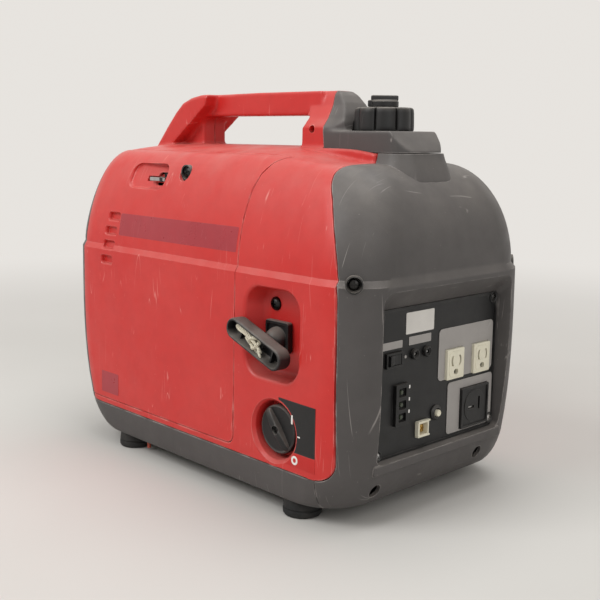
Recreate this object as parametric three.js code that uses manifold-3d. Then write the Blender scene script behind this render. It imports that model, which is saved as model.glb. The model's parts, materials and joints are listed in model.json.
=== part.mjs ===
// A suitcase-style inverter generator: a moulded plastic body round a small petrol engine, its
// alternator and inverter, a fuel tank and a control panel.
// Millimetres. +X points to the control panel, -Y to the starter grip, +Z up, z = 0 under the feet.
import * as THREE from "three";
import { LoftGeometry } from "three/addons/geometries/LoftGeometry.js";
import { mergeVertices } from "three/addons/utils/BufferGeometryUtils.js";
import Module from "manifold-3d";

const wasm = await Module();
wasm.setup();

// ---- Driving dimensions ----------------------------------------------------------------------
const LENGTH = 508; // body, front face to rear face
const WIDTH = 286; // body, over the two sides
const BODY_BOTTOM = 18; // underside of the base
const TUCK_Z = 58; // below here the faces tuck in to the base
const BELT_Z = 240; // step line round the body
const BELT_RISE = 6; // height of that step
const SHOULDER_Z = 250; // above here the faces curl over to the top
const EDGE_Z = 357; // upper edge of the shoulder
const CROWN = 9; // rise of the top from that edge to the middle
const CROWN_RUN = 46; // how far the crown's ends draw in
const CROWN_FALL = { x: [60, 183], stops: [60, 122], sink: 0.065, flat: 0.75 }; // towards the front
const SPINE = { x: 40, half: 41 }; // raised middle of the crown, from the handle to the filler
const WALL = 3; // moulded skin
const SEAM = 0.8; // open line between two shells
const GAP = 0.35; // clearance between fixed pieces that touch
const RUN = 0.5; // clearance round pieces that move
const FRONT_CORNER = 50; // plan radius of the front corners
const REAR_CORNER = 52;
const CORNER_STEPS = 4;

const BASE_SEAM_Z = 50; // top of the base tray
const NOSE_X = LENGTH / 2 - 51; // base tray ends here, and the front cover carries on
const FRONT_SEAM = 30; // front cover's side edge, back from the front face
const FRONT_SEAM_CORNER = 20; // round lower corner of the side shells
const REAR_SEAM = { side: 36, top: 17 }; // rear cover's edge, forward of the rear face

const COVER_FRONT_X = 82; // maintenance cover
const COVER_BOTTOM = 58;
const COVER_TOP = 61; // in from the side, where the cover stops on the shoulder
const COVER_SCREW = { x: -36, z: 335, shank: 3, head: 5 };
const VENT = { count: 4, width: 9, height: 6, pitch: 17, top: 282, x: -158, slant: 5.5 };
const CHOKE_SLOT = { x0: -133, x1: -60, z0: 319, z1: 343 };

const HANDLE_TOP = 425;
const HANDLE = { rear: -198, front: 104, bar: 17, leg: 35, holeRear: -138, holeFront: 70, under: 399 };
const HANDLE_SLOPE = { x: -118, z: 420 }; // where the rear slope turns into the bar
const FILLER = { x: 156, platform: 382, half: 36, nose: 212, slope: 17, cornerRadius: 18 };
const RISER_REAR = 182;
const CAP = { radius: 31, height: 24, lobes: 8, neck: 21, lever: 14.5, leverHeight: 12 };

const PANEL = { x: LENGTH / 2 - 17, half: 97, z0: 66, z1: 215, thickness: 3, corner: 6 };
const LEDGE = { half: 102, height: 9, proud: 4 }; // sill under the panel
const OUTLET = { width: 28, height: 32, z: 146.5, y: [25, 70], proud: 4, depth: 18 };
const OUTLET_SLOT = { pitch: 12.7, width: 2, height: 9, ground: 5 };
const DC_OUTLET = { y: [38, 85], z: [73, 117], proud: 4, depth: 18 };
const GROUND = { y: [-33, -16], z: [79, 95], stud: 3 };
const PARALLEL = { y: [-39, -20], z: 166, radius: 5.5, bore: 2.2 };
const INDICATOR = { y: [-68, -49], z: [97, 139], proud: 4 };
const ECO = { y: [-82, -58], z: [157, 172], proud: 3, tilt: 8 };
const BREAKER = { y: -2, z: 99, radius: 8, button: 4.5, proud: 3 };

const SHAFT_Z = 122; // crankshaft axis
const ROPE = 5;
const ROPE_TURN = 53; // radius at which the rope lies on the reel
const GRIP = { x: 130, length: 84, height: 22, proud: 15, wall: 3, tilt: 20.5 };
const RECESS = { x: [98, 178], below: 37, above: 54, depth: 25, draft: 12, corner: 22 }; // from the rope
const SWITCH = { x: 145, below: 88, radius: 30, depth: 21, knob: 25 };

const FOOT = { radius: 20, front: 163, rear: -133, inset: 25 };
const PLUG_X = -35; // cylinder and spark plug axis
const PLUG_COVER = { half: 26, length: 84 };
const TANK = { x0: 44, x1: 196, side: 51, z0: 245, z1: 340 }; // side: in from the body's side
const MUFFLER = { x0: -222, x1: -152, half: 78, z0: 122, z1: 232, corner: 30, sheet: 2 };
const TAIL = { radius: 14, sheet: 2, clearance: 3, z: 178 };
const LOUVRE = { above: 36, pitch: 14, height: 6, half: 70 };
const DRAIN = { x: -103, inset: 23, radius: 2.3, tip: 3, top: 62 };

// ---- Derived places ----------------------------------------------------------------------------
const FRONT = LENGTH / 2;
const REAR = -LENGTH / 2;
const HALF = WIDTH / 2;
const BODY_TOP = EDGE_Z + CROWN;
const COVER_TOP_Y = HALF - COVER_TOP;
const ROPE_Z = SHAFT_Z + ROPE_TURN;
const SWITCH_Z = ROPE_Z - SWITCH.below;
const GRIP_FACE = HALF + GRIP.proud;
const RECESS_FLOOR = HALF - RECESS.depth;
const SWITCH_FLOOR = HALF - SWITCH.depth;
const FOOT_Y = HALF - FOOT.inset;
const DRAIN_Y = DRAIN.inset - HALF;
const FAR = 600; // longer than any piece, for cutters

// How far each face stands in from the overall box.
const FACES = {
  front: { base: 10.5, belt: 0, lean: 3.1, tuck: 25, step: 3.2, shoulder: 60, power: 2.2 },
  rear: { base: 26, belt: 6, lean: 3.5, tuck: 40, step: 0, shoulder: 31, power: 1.2 },
  side: { base: 0, belt: 3.5, lean: 1, tuck: 6, step: 4, shoulder: 50, power: 1.4 },
};

// ---- Materials ---------------------------------------------------------------------------------
function finish(color, roughness, metalness = 0) {
  return { color, roughness, metalness };
}
const RED = finish(0xcf4a40, 0.45);
const CHARCOAL = finish(0x57524f, 0.6);
const BLACK = finish(0x222222, 0.5);
const CREAM = finish(0xe8e2d2, 0.45);
const RUBBER = finish(0x1b1b1b, 0.9);
const STEEL = finish(0x8c8c8c, 0.35, 1);
const ALUMINIUM = finish(0xb4b4b4, 0.5, 1);
const BRASS = finish(0xb59a55, 0.35, 1);

// ---- Solids ------------------------------------------------------------------------------------
function solidOf(geometry) {
  const plain = new THREE.BufferGeometry();
  plain.setAttribute("position", geometry.getAttribute("position"));
  plain.setIndex(geometry.index);
  const merged = mergeVertices(plain, 1e-4);
  const vertProperties = Float32Array.from(merged.attributes.position.array);
  const triVerts = Uint32Array.from(merged.index.array);
  return new wasm.Manifold(new wasm.Mesh({ numProp: 3, vertProperties, triVerts }));
}

function geometryOf(solid) {
  const mesh = solid.getMesh();
  const geometry = new THREE.BufferGeometry();
  geometry.setAttribute("position", new THREE.BufferAttribute(mesh.vertProperties, 3));
  geometry.setIndex(new THREE.BufferAttribute(mesh.triVerts, 1));
  geometry.computeVertexNormals();
  return geometry;
}

function union(...solids) {
  return solids.reduce((whole, piece) => whole.add(piece));
}

// A shape drawn in u, v is laid on a plane and extruded along the third axis.
const X_AXIS = new THREE.Vector3(1, 0, 0);
const Y_AXIS = new THREE.Vector3(0, 1, 0);
const Z_AXIS = new THREE.Vector3(0, 0, 1);
const PLANES = {
  xy: new THREE.Matrix4(),
  xz: new THREE.Matrix4().makeRotationX(Math.PI / 2),
  yz: new THREE.Matrix4().makeBasis(Y_AXIS, Z_AXIS, X_AXIS),
};

function prism(shape, plane, [from, to], curveSegments = 3) {
  const settings = { depth: to - from, bevelEnabled: false, curveSegments };
  const geometry = new THREE.ExtrudeGeometry(shape, settings);
  geometry.translate(0, 0, plane === "xz" ? -to : from);
  return solidOf(geometry.applyMatrix4(PLANES[plane]));
}

function polygon(points) {
  return new THREE.Shape(points.map(([u, v]) => new THREE.Vector2(u, v)));
}

function roundRect([u0, u1], [v0, v1], wanted) {
  const radius = Math.min(wanted, 0.49 * (u1 - u0), 0.49 * (v1 - v0));
  const shape = new THREE.Shape();
  shape.absarc(u1 - radius, v1 - radius, radius, 0, Math.PI / 2);
  shape.absarc(u0 + radius, v1 - radius, radius, Math.PI / 2, Math.PI);
  shape.absarc(u0 + radius, v0 + radius, radius, Math.PI, 1.5 * Math.PI);
  shape.absarc(u1 - radius, v0 + radius, radius, 1.5 * Math.PI, 2 * Math.PI);
  return shape.closePath();
}

function box(x, y, z) {
  const geometry = new THREE.BoxGeometry(x[1] - x[0], y[1] - y[0], z[1] - z[0]);
  geometry.translate((x[0] + x[1]) / 2, (y[0] + y[1]) / 2, (z[0] + z[1]) / 2);
  return solidOf(geometry);
}

// A round bar along x, y or z; centre holds the other two coordinates in order.
function rod(axis, radius, [from, to], centre, sides = 20) {
  const plane = { x: "yz", y: "xz", z: "xy" }[axis];
  const shape = new THREE.Shape().absarc(centre[0], centre[1], radius, 0, 2 * Math.PI);
  return prism(shape, plane, [from, to], sides / 2);
}

function tube(axis, outer, inner, range, centre, sides = 20) {
  const [from, to] = range;
  return rod(axis, outer, range, centre, sides).subtract(
    rod(axis, inner, [from - 1, to + 1], centre, sides),
  );
}

function spread([from, to], by) {
  return [from - by, to + by];
}

// ---- Body shape --------------------------------------------------------------------------------
function clamp01(t) {
  return Math.min(1, Math.max(0, t));
}

// Rises from 0 to 1 along a rounded quarter.
function bow(t, power) {
  return 1 - Math.sqrt(1 - clamp01(t) ** power);
}

function inset(face, z) {
  const lean = clamp01((BELT_Z - z) / (BELT_Z - TUCK_Z)) ** face.lean;
  const tuck = bow((TUCK_Z - z) / (TUCK_Z - BODY_BOTTOM), 1.3);
  const step = clamp01((z - BELT_Z) / BELT_RISE);
  const shoulder = bow((z - SHOULDER_Z) / (EDGE_Z - SHOULDER_Z), face.power);
  const leaning = face.belt + (face.base - face.belt) * lean;
  return leaning + face.tuck * tuck + face.step * step + face.shoulder * shoulder;
}

function frontAt(z) {
  return FRONT - inset(FACES.front, z);
}

function rearAt(z) {
  return REAR + inset(FACES.rear, z);
}

function sideAt(z) {
  return HALF - inset(FACES.side, z);
}

// The grip lies against the side.
const GRIP_BACK = sideAt(ROPE_Z);

// The crown sinks and flattens as it runs forward, from one stop to the other.
function crownHeight(x, z, rise, falls) {
  const t = clamp01((x - CROWN_FALL.x[0]) / (CROWN_FALL.x[1] - CROWN_FALL.x[0]));
  const share = falls ? t * t * (3 - 2 * t) : 0;
  const sunk = CROWN_FALL.sink * share * Math.max(0, z - SHOULDER_Z);
  return z - sunk + rise * (1 - CROWN_FALL.flat * share);
}

function bodyRing(z, narrow, shrink, falls) {
  const drawn = CROWN_RUN * (1 - narrow) + shrink;
  const front = frontAt(z) - drawn;
  const rear = rearAt(z) + drawn;
  const half = (sideAt(z) - shrink) * narrow;
  const rise = CROWN * (1 - narrow * narrow);
  const squeeze = shrink * (1 - (2 * (z - BODY_BOTTOM)) / (EDGE_Z - BODY_BOTTOM));
  const points = [];
  [0, 1, 2, 3].forEach((quarter) => {
    const atFront = quarter === 0 || quarter === 3;
    const radius = Math.min(atFront ? FRONT_CORNER : REAR_CORNER, half * 0.9);
    const x = atFront ? front - radius : rear + radius;
    const y = quarter < 2 ? half - radius : radius - half;
    for (let step = 0; step <= CORNER_STEPS; step += 1) {
      const angle = ((quarter + step / CORNER_STEPS) * Math.PI) / 2;
      const at = x + radius * Math.cos(angle);
      const height = crownHeight(at, z, rise, falls) + squeeze;
      points.push(new THREE.Vector3(at, y + radius * Math.sin(angle), height));
    }
    if (quarter === 0 || quarter === 2) {
      const stops = quarter === 0 ? [...CROWN_FALL.stops].reverse() : CROWN_FALL.stops;
      const side = quarter === 0 ? half : -half;
      stops.forEach((at) => points.push(new THREE.Vector3(at, side, crownHeight(at, z, rise, falls) + squeeze)));
    }
  });
  return points;
}

function bodySolid(shrink, falls = true) {
  const between = (from, to, shares) => shares.map((share) => from + (to - from) * share);
  const levels = [
    ...between(BODY_BOTTOM, TUCK_Z, [0, 0.12, 0.4, 1]),
    ...between(TUCK_Z, BELT_Z, [0.3, 0.65, 1]),
    BELT_Z + BELT_RISE,
    ...between(SHOULDER_Z, EDGE_Z, [0.25, 0.5, 0.7, 0.86, 0.95, 1]),
  ];
  const rings = levels.map((z) => bodyRing(z, 1, shrink, falls));
  [0.75, 0.5, 0.25].forEach((narrow) => rings.push(bodyRing(EDGE_Z, narrow, shrink, falls)));
  rings.push(bodyRing(EDGE_Z, 0.02, shrink, false)); // a level ridge, hidden by the spine
  return solidOf(new LoftGeometry(rings, { capStart: true, capEnd: true }));
}

const bodyOuter = bodySolid(0);
const skin = bodyOuter.subtract(bodySolid(WALL));

// ---- Regions of the shells ---------------------------------------------------------------------
function across(points) {
  return prism(polygon(points), "xz", [-FAR, FAR]);
}

const frontSeamX = FRONT - FRONT_SEAM;
const FRONT_EDGE = [
  [frontSeamX, BELT_Z - 10],
  [frontSeamX - 4.5, EDGE_Z - 99],
  [frontSeamX - 10.5, EDGE_Z - 76],
  [frontSeamX - 18, EDGE_Z - 56],
  [frontSeamX - 26, EDGE_Z - 39],
  [frontSeamX - 35, EDGE_Z - 26],
  [frontSeamX - 40.5, EDGE_Z - 16],
  [RISER_REAR, EDGE_Z - 10],
  [RISER_REAR, FAR],
];

// Everything ahead of the front cover's edge; move shifts that edge forward.
function frontRegion(move) {
  const r = FRONT_SEAM_CORNER;
  const corner = [0, 1, 2, 3, 4].map((i) => {
    const angle = -Math.PI / 2 + (i * Math.PI) / 8;
    const x = frontSeamX - r + r * Math.cos(angle);
    return [x, BASE_SEAM_Z + r + r * Math.sin(angle)];
  });
  const edge = [[NOSE_X, -FAR], [NOSE_X, BASE_SEAM_Z], ...corner, ...FRONT_EDGE];
  const moved = edge.map(([x, z]) => [x + move, z < BELT_Z ? z - move : z + move]);
  return across([...moved, [FAR, FAR], [FAR, -FAR]]);
}

function rearRegion(move) {
  const levels = [BASE_SEAM_Z, 0.5 * (TUCK_Z + BELT_Z), BELT_Z, EDGE_Z - 45, EDGE_Z - 15, EDGE_Z];
  const edge = levels.map((z) => {
    const share = clamp01((z - SHOULDER_Z) / (EDGE_Z - SHOULDER_Z)) ** 2;
    return [rearAt(z) + REAR_SEAM.side + (REAR_SEAM.top - REAR_SEAM.side) * share + move, z];
  });
  const top = edge.at(-1)[0];
  return across([[-FAR, -FAR], [edge[0][0], -FAR], ...edge, [top, FAR], [-FAR, FAR]]);
}

function aboveZ(z) {
  return box([-FAR, FAR], [-FAR, FAR], [z, FAR]);
}

function belowZ(z) {
  return box([-FAR, FAR], [-FAR, FAR], [-FAR, z]);
}

function sideRegion(sign) {
  const y = sign < 0 ? [-FAR, -SEAM / 2] : [SEAM / 2, FAR];
  return box([-FAR, FAR], y, [-FAR, FAR]);
}

// ---- Handle ------------------------------------------------------------------------------------
const legFoot = HANDLE.front + 7; // the front leg's grey edge leans back as it rises

function handleOutline() {
  return polygon([
    [HANDLE.rear, EDGE_Z],
    [HANDLE.rear, BODY_TOP],
    [HANDLE_SLOPE.x, HANDLE_SLOPE.z],
    [HANDLE_SLOPE.x + 22, HANDLE_TOP - 1.5],
    [-20, HANDLE_TOP],
    [HANDLE.front, HANDLE_TOP - 1],
    [legFoot, EDGE_Z],
  ]);
}

function handleHole() {
  const { holeRear, holeFront, under } = HANDLE;
  return polygon([
    [holeRear, EDGE_Z - FAR],
    [holeRear, BODY_TOP + 6],
    [holeRear + 16, under - 4],
    [holeRear + 30, under],
    [holeFront, under],
    [holeFront - 5, EDGE_Z - FAR],
  ]);
}

function handleSolid() {
  const whole = prism(handleOutline(), "xz", [-HANDLE.leg, HANDLE.leg]);
  const waist = polygon([
    [HANDLE.rear + 28, EDGE_Z - 1],
    [HANDLE.holeFront - 3, EDGE_Z - 1],
    [HANDLE.holeFront - 3, FAR],
    [HANDLE_SLOPE.x + 24, FAR],
    [HANDLE_SLOPE.x + 16, HANDLE_SLOPE.z - 6],
    [HANDLE.rear + 28, BODY_TOP],
  ]);
  const scoop = (y) => prism(waist, "xz", y);
  return whole
    .subtract(scoop([HANDLE.bar, HANDLE.leg + 1]))
    .subtract(scoop([-HANDLE.leg - 1, -HANDLE.bar]))
    .subtract(prism(handleHole(), "xz", [-FAR, FAR]));
}

// The shells' skin with the handle standing on it, less all that other covers take.
function shellBlank() {
  const raised = box([SPINE.x, RISER_REAR], [-SPINE.half, SPINE.half], [BELT_Z, FAR]);
  const spine = bodySolid(0, false).intersect(raised);
  const top = union(handleSolid(), spine).subtract(bodySolid(WALL));
  return union(skin, top)
    .intersect(aboveZ(BASE_SEAM_Z + SEAM))
    .subtract(frontRegion(-SEAM))
    .subtract(rearRegion(SEAM))
    .subtract(fillerEnvelope(SEAM))
    .subtract(neckHole())
    .subtract(plugHatch(SEAM));
}

// ---- Top fittings ------------------------------------------------------------------------------
function plugHatch(grow) {
  const x = spread([PLUG_X - PLUG_COVER.length / 2, PLUG_X + PLUG_COVER.length / 2], grow);
  const y = spread([-PLUG_COVER.half, PLUG_COVER.half], grow);
  return prism(roundRect(x, y, 8 + grow), "xy", [BODY_TOP - 2.5 * WALL, BODY_TOP + WALL], 2);
}

function fillerPlatform(grow) {
  const { half, nose, slope, platform, cornerRadius } = FILLER;
  const x = [HANDLE.front - 20, nose + grow];
  const plan = roundRect(x, spread([-half, half], grow), cornerRadius);
  const low = EDGE_Z + 5 - grow;
  const side = [
    [legFoot - grow, low],
    [HANDLE.front + 4 - grow, platform],
    [nose - slope + grow, platform],
    [nose + grow, low],
  ];
  return prism(plan, "xy", [low - 1, platform], 4).intersect(across(side));
}

function fillerHorn(grow) {
  const { platform, half } = FILLER;
  const plan = new THREE.Shape();
  plan.absellipse(HANDLE.front, 0, half + 4, half + grow, -Math.PI / 2, Math.PI / 2);
  plan.closePath();
  const leanX = HANDLE.front + 4;
  const side = [
    [leanX - grow, platform - 1],
    [HANDLE.front + SEAM - grow, HANDLE_TOP - 1 + grow],
    [HANDLE.front + 12, HANDLE_TOP - 4 + grow],
    [HANDLE.front + 18, HANDLE_TOP - 16 + grow],
    [FILLER.x - CAP.radius - 2, platform - 1],
  ];
  return prism(plan, "xy", [platform - 1, HANDLE_TOP + grow], 6).intersect(across(side));
}

function fillerEnvelope(grow) {
  return union(fillerPlatform(grow), fillerHorn(grow));
}

function neckHole() {
  return rod("z", CAP.neck + 2, [0, FAR], [FILLER.x, 0], 24);
}

function fillerSurround() {
  const under = prism(
    roundRect([legFoot + 6, FILLER.nose - 26], [6 - FILLER.half, FILLER.half - 6], 8),
    "xy",
    [0, FILLER.platform - WALL],
    2,
  );
  return fillerEnvelope(0).subtract(neckHole()).subtract(under);
}

function plugCover() {
  return plugHatch(0).intersect(skin);
}

function capShape(radius, lobes, depth) {
  const points = [];
  const steps = lobes * 6;
  for (let i = 0; i < steps; i += 1) {
    const angle = (i / steps) * 2 * Math.PI;
    const swell = Math.sqrt(Math.abs(Math.cos((lobes * angle) / 2)));
    const r = radius - depth + depth * swell;
    points.push([FILLER.x + r * Math.cos(angle), r * Math.sin(angle)]);
  }
  return polygon(points);
}

const capBottom = FILLER.platform + RUN;
const capTop = capBottom + CAP.height;

function fuelCap() {
  const body = prism(capShape(CAP.radius, CAP.lobes, 2.6), "xy", [capBottom, capTop]);
  const well = rod("z", CAP.neck + 3, [capBottom - 1, capTop - 4], [FILLER.x, 0], 24);
  const pin = rod("z", 4, [capTop - 1, capTop + 3], [FILLER.x, 0], 12);
  return union(body.subtract(well), pin);
}

const gasketZ = [capTop - 7, capTop - 4 - GAP];

function capGasket() {
  return tube("z", CAP.neck + 3 - GAP, CAP.neck - 6, gasketZ, [FILLER.x, 0], 20);
}

function ventLever() {
  const z0 = capTop + RUN;
  const z1 = z0 + CAP.leverHeight;
  const disc = rod("z", CAP.lever, [z0, z1 - 4], [FILLER.x, 0], 20);
  const ridge = box([FILLER.x - CAP.lever, FILLER.x + CAP.lever], [-2.5, 2.5], [z1 - 5, z1]);
  const bore = rod("z", 4 + RUN, [z0 - 1, z0 + 3.5], [FILLER.x, 0], 12);
  return union(disc, ridge.intersect(rod("z", CAP.lever, [0, FAR], [FILLER.x, 0]))).subtract(bore);
}

// ---- Openings in the side shell ----------------------------------------------------------------
function starterRecess(grow, floor) {
  const { x, below, above, draft, corner } = RECESS;
  const z = [ROPE_Z - below, ROPE_Z + above];
  const mouth = prism(roundRect(spread(x, grow), spread(z, grow), corner), "xz", [-FAR, -floor]);
  const slope = [
    [-FAR, x[0] - FAR],
    [-HALF, x[0] - grow],
    [-floor, x[0] + draft - grow],
    [-floor, FAR],
    [-FAR, FAR],
  ];
  const drafted = polygon(slope.map(([y, u]) => [u, y]));
  return mouth.intersect(prism(drafted, "xy", [0, FAR]));
}

function switchWell(grow) {
  return rod("y", SWITCH.radius + grow, [-FAR, grow - SWITCH_FLOOR], [SWITCH.x, SWITCH_Z], 24);
}

// A pocket with its own walls, hung on the inside of the skin.
function pocketed(shell, outer, inner) {
  return union(shell, outer.intersect(bodyOuter)).subtract(inner);
}

function vents() {
  const slots = [];
  for (let i = 0; i < VENT.count; i += 1) {
    const x = VENT.x - i * VENT.slant;
    const z = VENT.top - i * VENT.pitch;
    slots.push(box([x, x + VENT.width], [-FAR, -HALF / 2], [z, z + VENT.height]));
  }
  return union(...slots);
}

function chokeSlot(shrink) {
  const { x0, x1, z0, z1 } = CHOKE_SLOT;
  const x = spread([x0, x1], -shrink);
  const z = spread([z0, z1], -shrink);
  return prism(roundRect(x, z, (z[1] - z[0]) / 2 - 0.01), "xz", [-FAR, -HALF / 2]);
}

const coverRegion = (grow) => {
  const bottom = COVER_BOTTOM - grow;
  const x1 = COVER_FRONT_X + grow;
  const outline = roundRect([REAR - FAR, x1], [bottom, FAR], 4);
  return prism(outline, "xz", [-FAR, -COVER_TOP_Y + grow], 2);
};

function screwSeat(radius) {
  return rod("y", radius, [-FAR, -HALF / 2], [COVER_SCREW.x, COVER_SCREW.z], 12);
}

function maintenanceCover() {
  return shellBlank()
    .intersect(coverRegion(0))
    .subtract(vents())
    .subtract(chokeSlot(5))
    .subtract(screwSeat(COVER_SCREW.head + RUN));
}

function leftShell() {
  const plain = shellBlank().intersect(sideRegion(-1)).subtract(coverRegion(SEAM));
  const recessed = pocketed(plain, starterRecess(WALL, RECESS_FLOOR - WALL), starterRecess(0, RECESS_FLOOR));
  const ropeHole = rod("y", ROPE / 2 + 5, [-FAR, -HALF / 2], [GRIP.x, ROPE_Z], 16);
  const spindleHole = rod("y", 6, [-FAR, -HALF / 2], [SWITCH.x, SWITCH_Z], 16);
  return pocketed(recessed, switchWell(WALL), switchWell(0))
    .intersect(aboveZ(BASE_SEAM_Z + SEAM))
    .subtract(ropeHole)
    .subtract(spindleHole);
}

function rightShell() {
  return shellBlank().intersect(sideRegion(1));
}

// ---- End covers and base -----------------------------------------------------------------------
function panelOpening(grow) {
  const y = spread([-PANEL.half, PANEL.half], grow);
  const z = spread([PANEL.z0, PANEL.z1], grow);
  return roundRect(y, z, PANEL.corner + grow);
}

function riser() {
  const { half, nose, cornerRadius } = FILLER;
  const low = EDGE_Z - 20;
  const plan = roundRect([RISER_REAR, nose + 4], spread([-half, half], 5), cornerRadius);
  return prism(plan, "xy", [low, EDGE_Z + 5 - SEAM], 2);
}

function frontCover() {
  const sleeveX = [PANEL.x - PANEL.thickness - WALL, FRONT];
  const sleeve = prism(panelOpening(WALL), "yz", sleeveX, 2).intersect(bodyOuter);
  const ledgeX = [PANEL.x - WALL, frontAt(PANEL.z0) + LEDGE.proud];
  const lower = box(ledgeX, [-LEDGE.half, LEDGE.half], [PANEL.z0 - LEDGE.height, PANEL.z0]);
  const front = union(skin, sleeve, lower, riser())
    .subtract(prism(panelOpening(0), "yz", [PANEL.x - FAR, FAR], 2))
    .intersect(frontRegion(0));
  const inside = bodySolid(WALL).intersect(belowZ(EDGE_Z + 1)).subtract(sleeve);
  return front.subtract(fillerEnvelope(SEAM)).subtract(neckHole()).subtract(inside);
}

function rearCover() {
  const louvres = [0, 1, 2, 3].map((row) => {
    const z = TAIL.z + LOUVRE.above + row * LOUVRE.pitch;
    return box([-FAR, REAR + 60], [-LOUVRE.half, LOUVRE.half], [z, z + LOUVRE.height]);
  });
  const outlet = rod("x", TAIL.radius + TAIL.clearance, [-FAR, REAR + 60], [0, TAIL.z]);
  return skin
    .intersect(rearRegion(0))
    .intersect(aboveZ(BASE_SEAM_Z + SEAM))
    .subtract(union(outlet, ...louvres));
}

function underCover() {
  const drainHole = rod("z", DRAIN.radius + 1, [-FAR, FAR], [DRAIN.x, DRAIN_Y], 12);
  return skin
    .intersect(belowZ(BASE_SEAM_Z))
    .subtract(frontRegion(-SEAM))
    .subtract(drainHole);
}

function foot(x, y) {
  const profile = [
    [0, 0],
    [FOOT.radius - 3, 0],
    [FOOT.radius, 3],
    [FOOT.radius - 2, BODY_BOTTOM - GAP],
    [0, BODY_BOTTOM - GAP],
  ].map(([r, z]) => new THREE.Vector2(r, z));
  const geometry = new THREE.LatheGeometry(profile, 18).rotateX(Math.PI / 2);
  return solidOf(geometry.translate(x, y, 0));
}

// ---- Control panel -----------------------------------------------------------------------------
const panelFace = PANEL.x;

function panelCutter(y, z) {
  return box([0, FAR], spread(y, GAP), spread(z, GAP));
}

function outletRange(centre) {
  return [centre - OUTLET.width / 2, centre + OUTLET.width / 2];
}

const outletZ = [OUTLET.z - OUTLET.height / 2, OUTLET.z + OUTLET.height / 2];

function panelHoles() {
  return union(
    ...OUTLET.y.map((y) => panelCutter(outletRange(y), outletZ)),
    panelCutter(DC_OUTLET.y, DC_OUTLET.z),
    panelCutter(GROUND.y, GROUND.z),
    panelCutter(INDICATOR.y, INDICATOR.z),
    panelCutter(ECO.y, ECO.z),
    ...PARALLEL.y.map((y) => rod("x", PARALLEL.radius - 1 + GAP, [0, FAR], [y, PARALLEL.z], 14)),
    rod("x", BREAKER.radius - 1 + GAP, [0, FAR], [BREAKER.y, BREAKER.z], 14),
  );
}

function controlPanel() {
  const x = [panelFace - PANEL.thickness, panelFace];
  return prism(panelOpening(-GAP), "yz", x, 2).subtract(panelHoles());
}

function acOutlet(centre) {
  const { depth, proud } = OUTLET;
  const body = box([panelFace - depth, panelFace + proud], outletRange(centre), outletZ);
  const slots = [-1, 1].map((side) => {
    const y = centre + (side * OUTLET_SLOT.pitch) / 2;
    const z = OUTLET.z + 3;
    const half = OUTLET_SLOT.height / 2;
    return box([panelFace - 9, FAR], spread([y, y], OUTLET_SLOT.width / 2), [z - half, z + half]);
  });
  const ground = rod("x", OUTLET_SLOT.ground / 2, [panelFace - 9, FAR], [centre, OUTLET.z - 8], 10);
  return body.subtract(union(...slots, ground));
}

function dcOutlet() {
  const { y, z, depth, proud } = DC_OUTLET;
  const body = box([panelFace - depth, panelFace + proud], y, z);
  const midY = (y[0] + y[1]) / 2;
  const midZ = (z[0] + z[1]) / 2;
  const upright = box([panelFace - 9, FAR], [midY + 6, midY + 9], [midZ - 7, midZ + 8]);
  const level = box([panelFace - 9, FAR], [midY - 12, midY - 2], [midZ - 2, midZ + 1]);
  return body.subtract(union(upright, level));
}

function groundTerminal() {
  const { y, z, stud } = GROUND;
  const block = box([panelFace - 8, panelFace + 4], y, z);
  const pocket = box([panelFace - 2, FAR], spread(y, -2.5), spread(z, -2.5));
  const middle = [(y[0] + y[1]) / 2, (z[0] + z[1]) / 2];
  return union(block.subtract(pocket), rod("x", stud, [panelFace - 3, panelFace + 5], middle, 6));
}

function parallelSocket(y) {
  const centre = [y, PARALLEL.z];
  const flange = rod("x", PARALLEL.radius, [panelFace + GAP, panelFace + 4], centre, 14);
  const barrel = rod("x", PARALLEL.radius - 1, [panelFace - 14, panelFace + 1], centre, 14);
  return union(flange, barrel).subtract(rod("x", PARALLEL.bore, [panelFace - 10, FAR], centre, 10));
}

function indicatorBlock() {
  const { y, z, proud } = INDICATOR;
  const middle = (y[0] + y[1]) / 2;
  const lens = [0.2, 0.5, 0.8].map((share) => {
    const height = z[0] + (z[1] - z[0]) * share;
    return rod("x", 3, [panelFace + proud - 1.5, FAR], [middle, height], 10);
  });
  return box([panelFace - 10, panelFace + proud], y, z).subtract(union(...lens));
}

const ecoMiddle = (ECO.y[0] + ECO.y[1]) / 2;

function ecoFrame() {
  const { y, z, proud } = ECO;
  const block = box([panelFace - 12, panelFace + proud], y, z);
  return block.subtract(box([panelFace - 8, FAR], spread(y, -2), spread(z, -2)));
}

// Rocks about an upright pin; it is drawn pressed in on its outer side.
function ecoRocker() {
  const { y, z, proud, tilt } = ECO;
  const half = (y[1] - y[0]) / 2 - 2 - RUN - 0.6;
  const face = proud + 1;
  const outline = polygon([
    [-half, -4],
    [0, -5],
    [half, -4],
    [half, face],
    [0, face - 1.5],
    [-half, face],
  ].map(([v, u]) => [u, v]).reverse());
  const geometry = new THREE.ExtrudeGeometry(outline, {
    depth: z[1] - z[0] - 4 - 2 * RUN,
    bevelEnabled: false,
  });
  geometry.rotateZ(THREE.MathUtils.degToRad(tilt));
  return solidOf(geometry.translate(panelFace, ecoMiddle, z[0] + 2 + RUN));
}

const breakerCentre = [BREAKER.y, BREAKER.z];

function breakerBody() {
  const collar = rod("x", BREAKER.radius, [panelFace + GAP, panelFace + BREAKER.proud], breakerCentre, 14);
  const barrel = rod("x", BREAKER.radius - 1, [panelFace - 16, panelFace + 1], breakerCentre, 14);
  const bore = rod("x", BREAKER.button + RUN, [panelFace - 10, FAR], breakerCentre, 14);
  return union(collar, barrel).subtract(bore);
}

function breakerButton() {
  const x = [panelFace - 6, panelFace + BREAKER.proud + 3];
  return rod("x", BREAKER.button, x, breakerCentre, 14);
}

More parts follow.
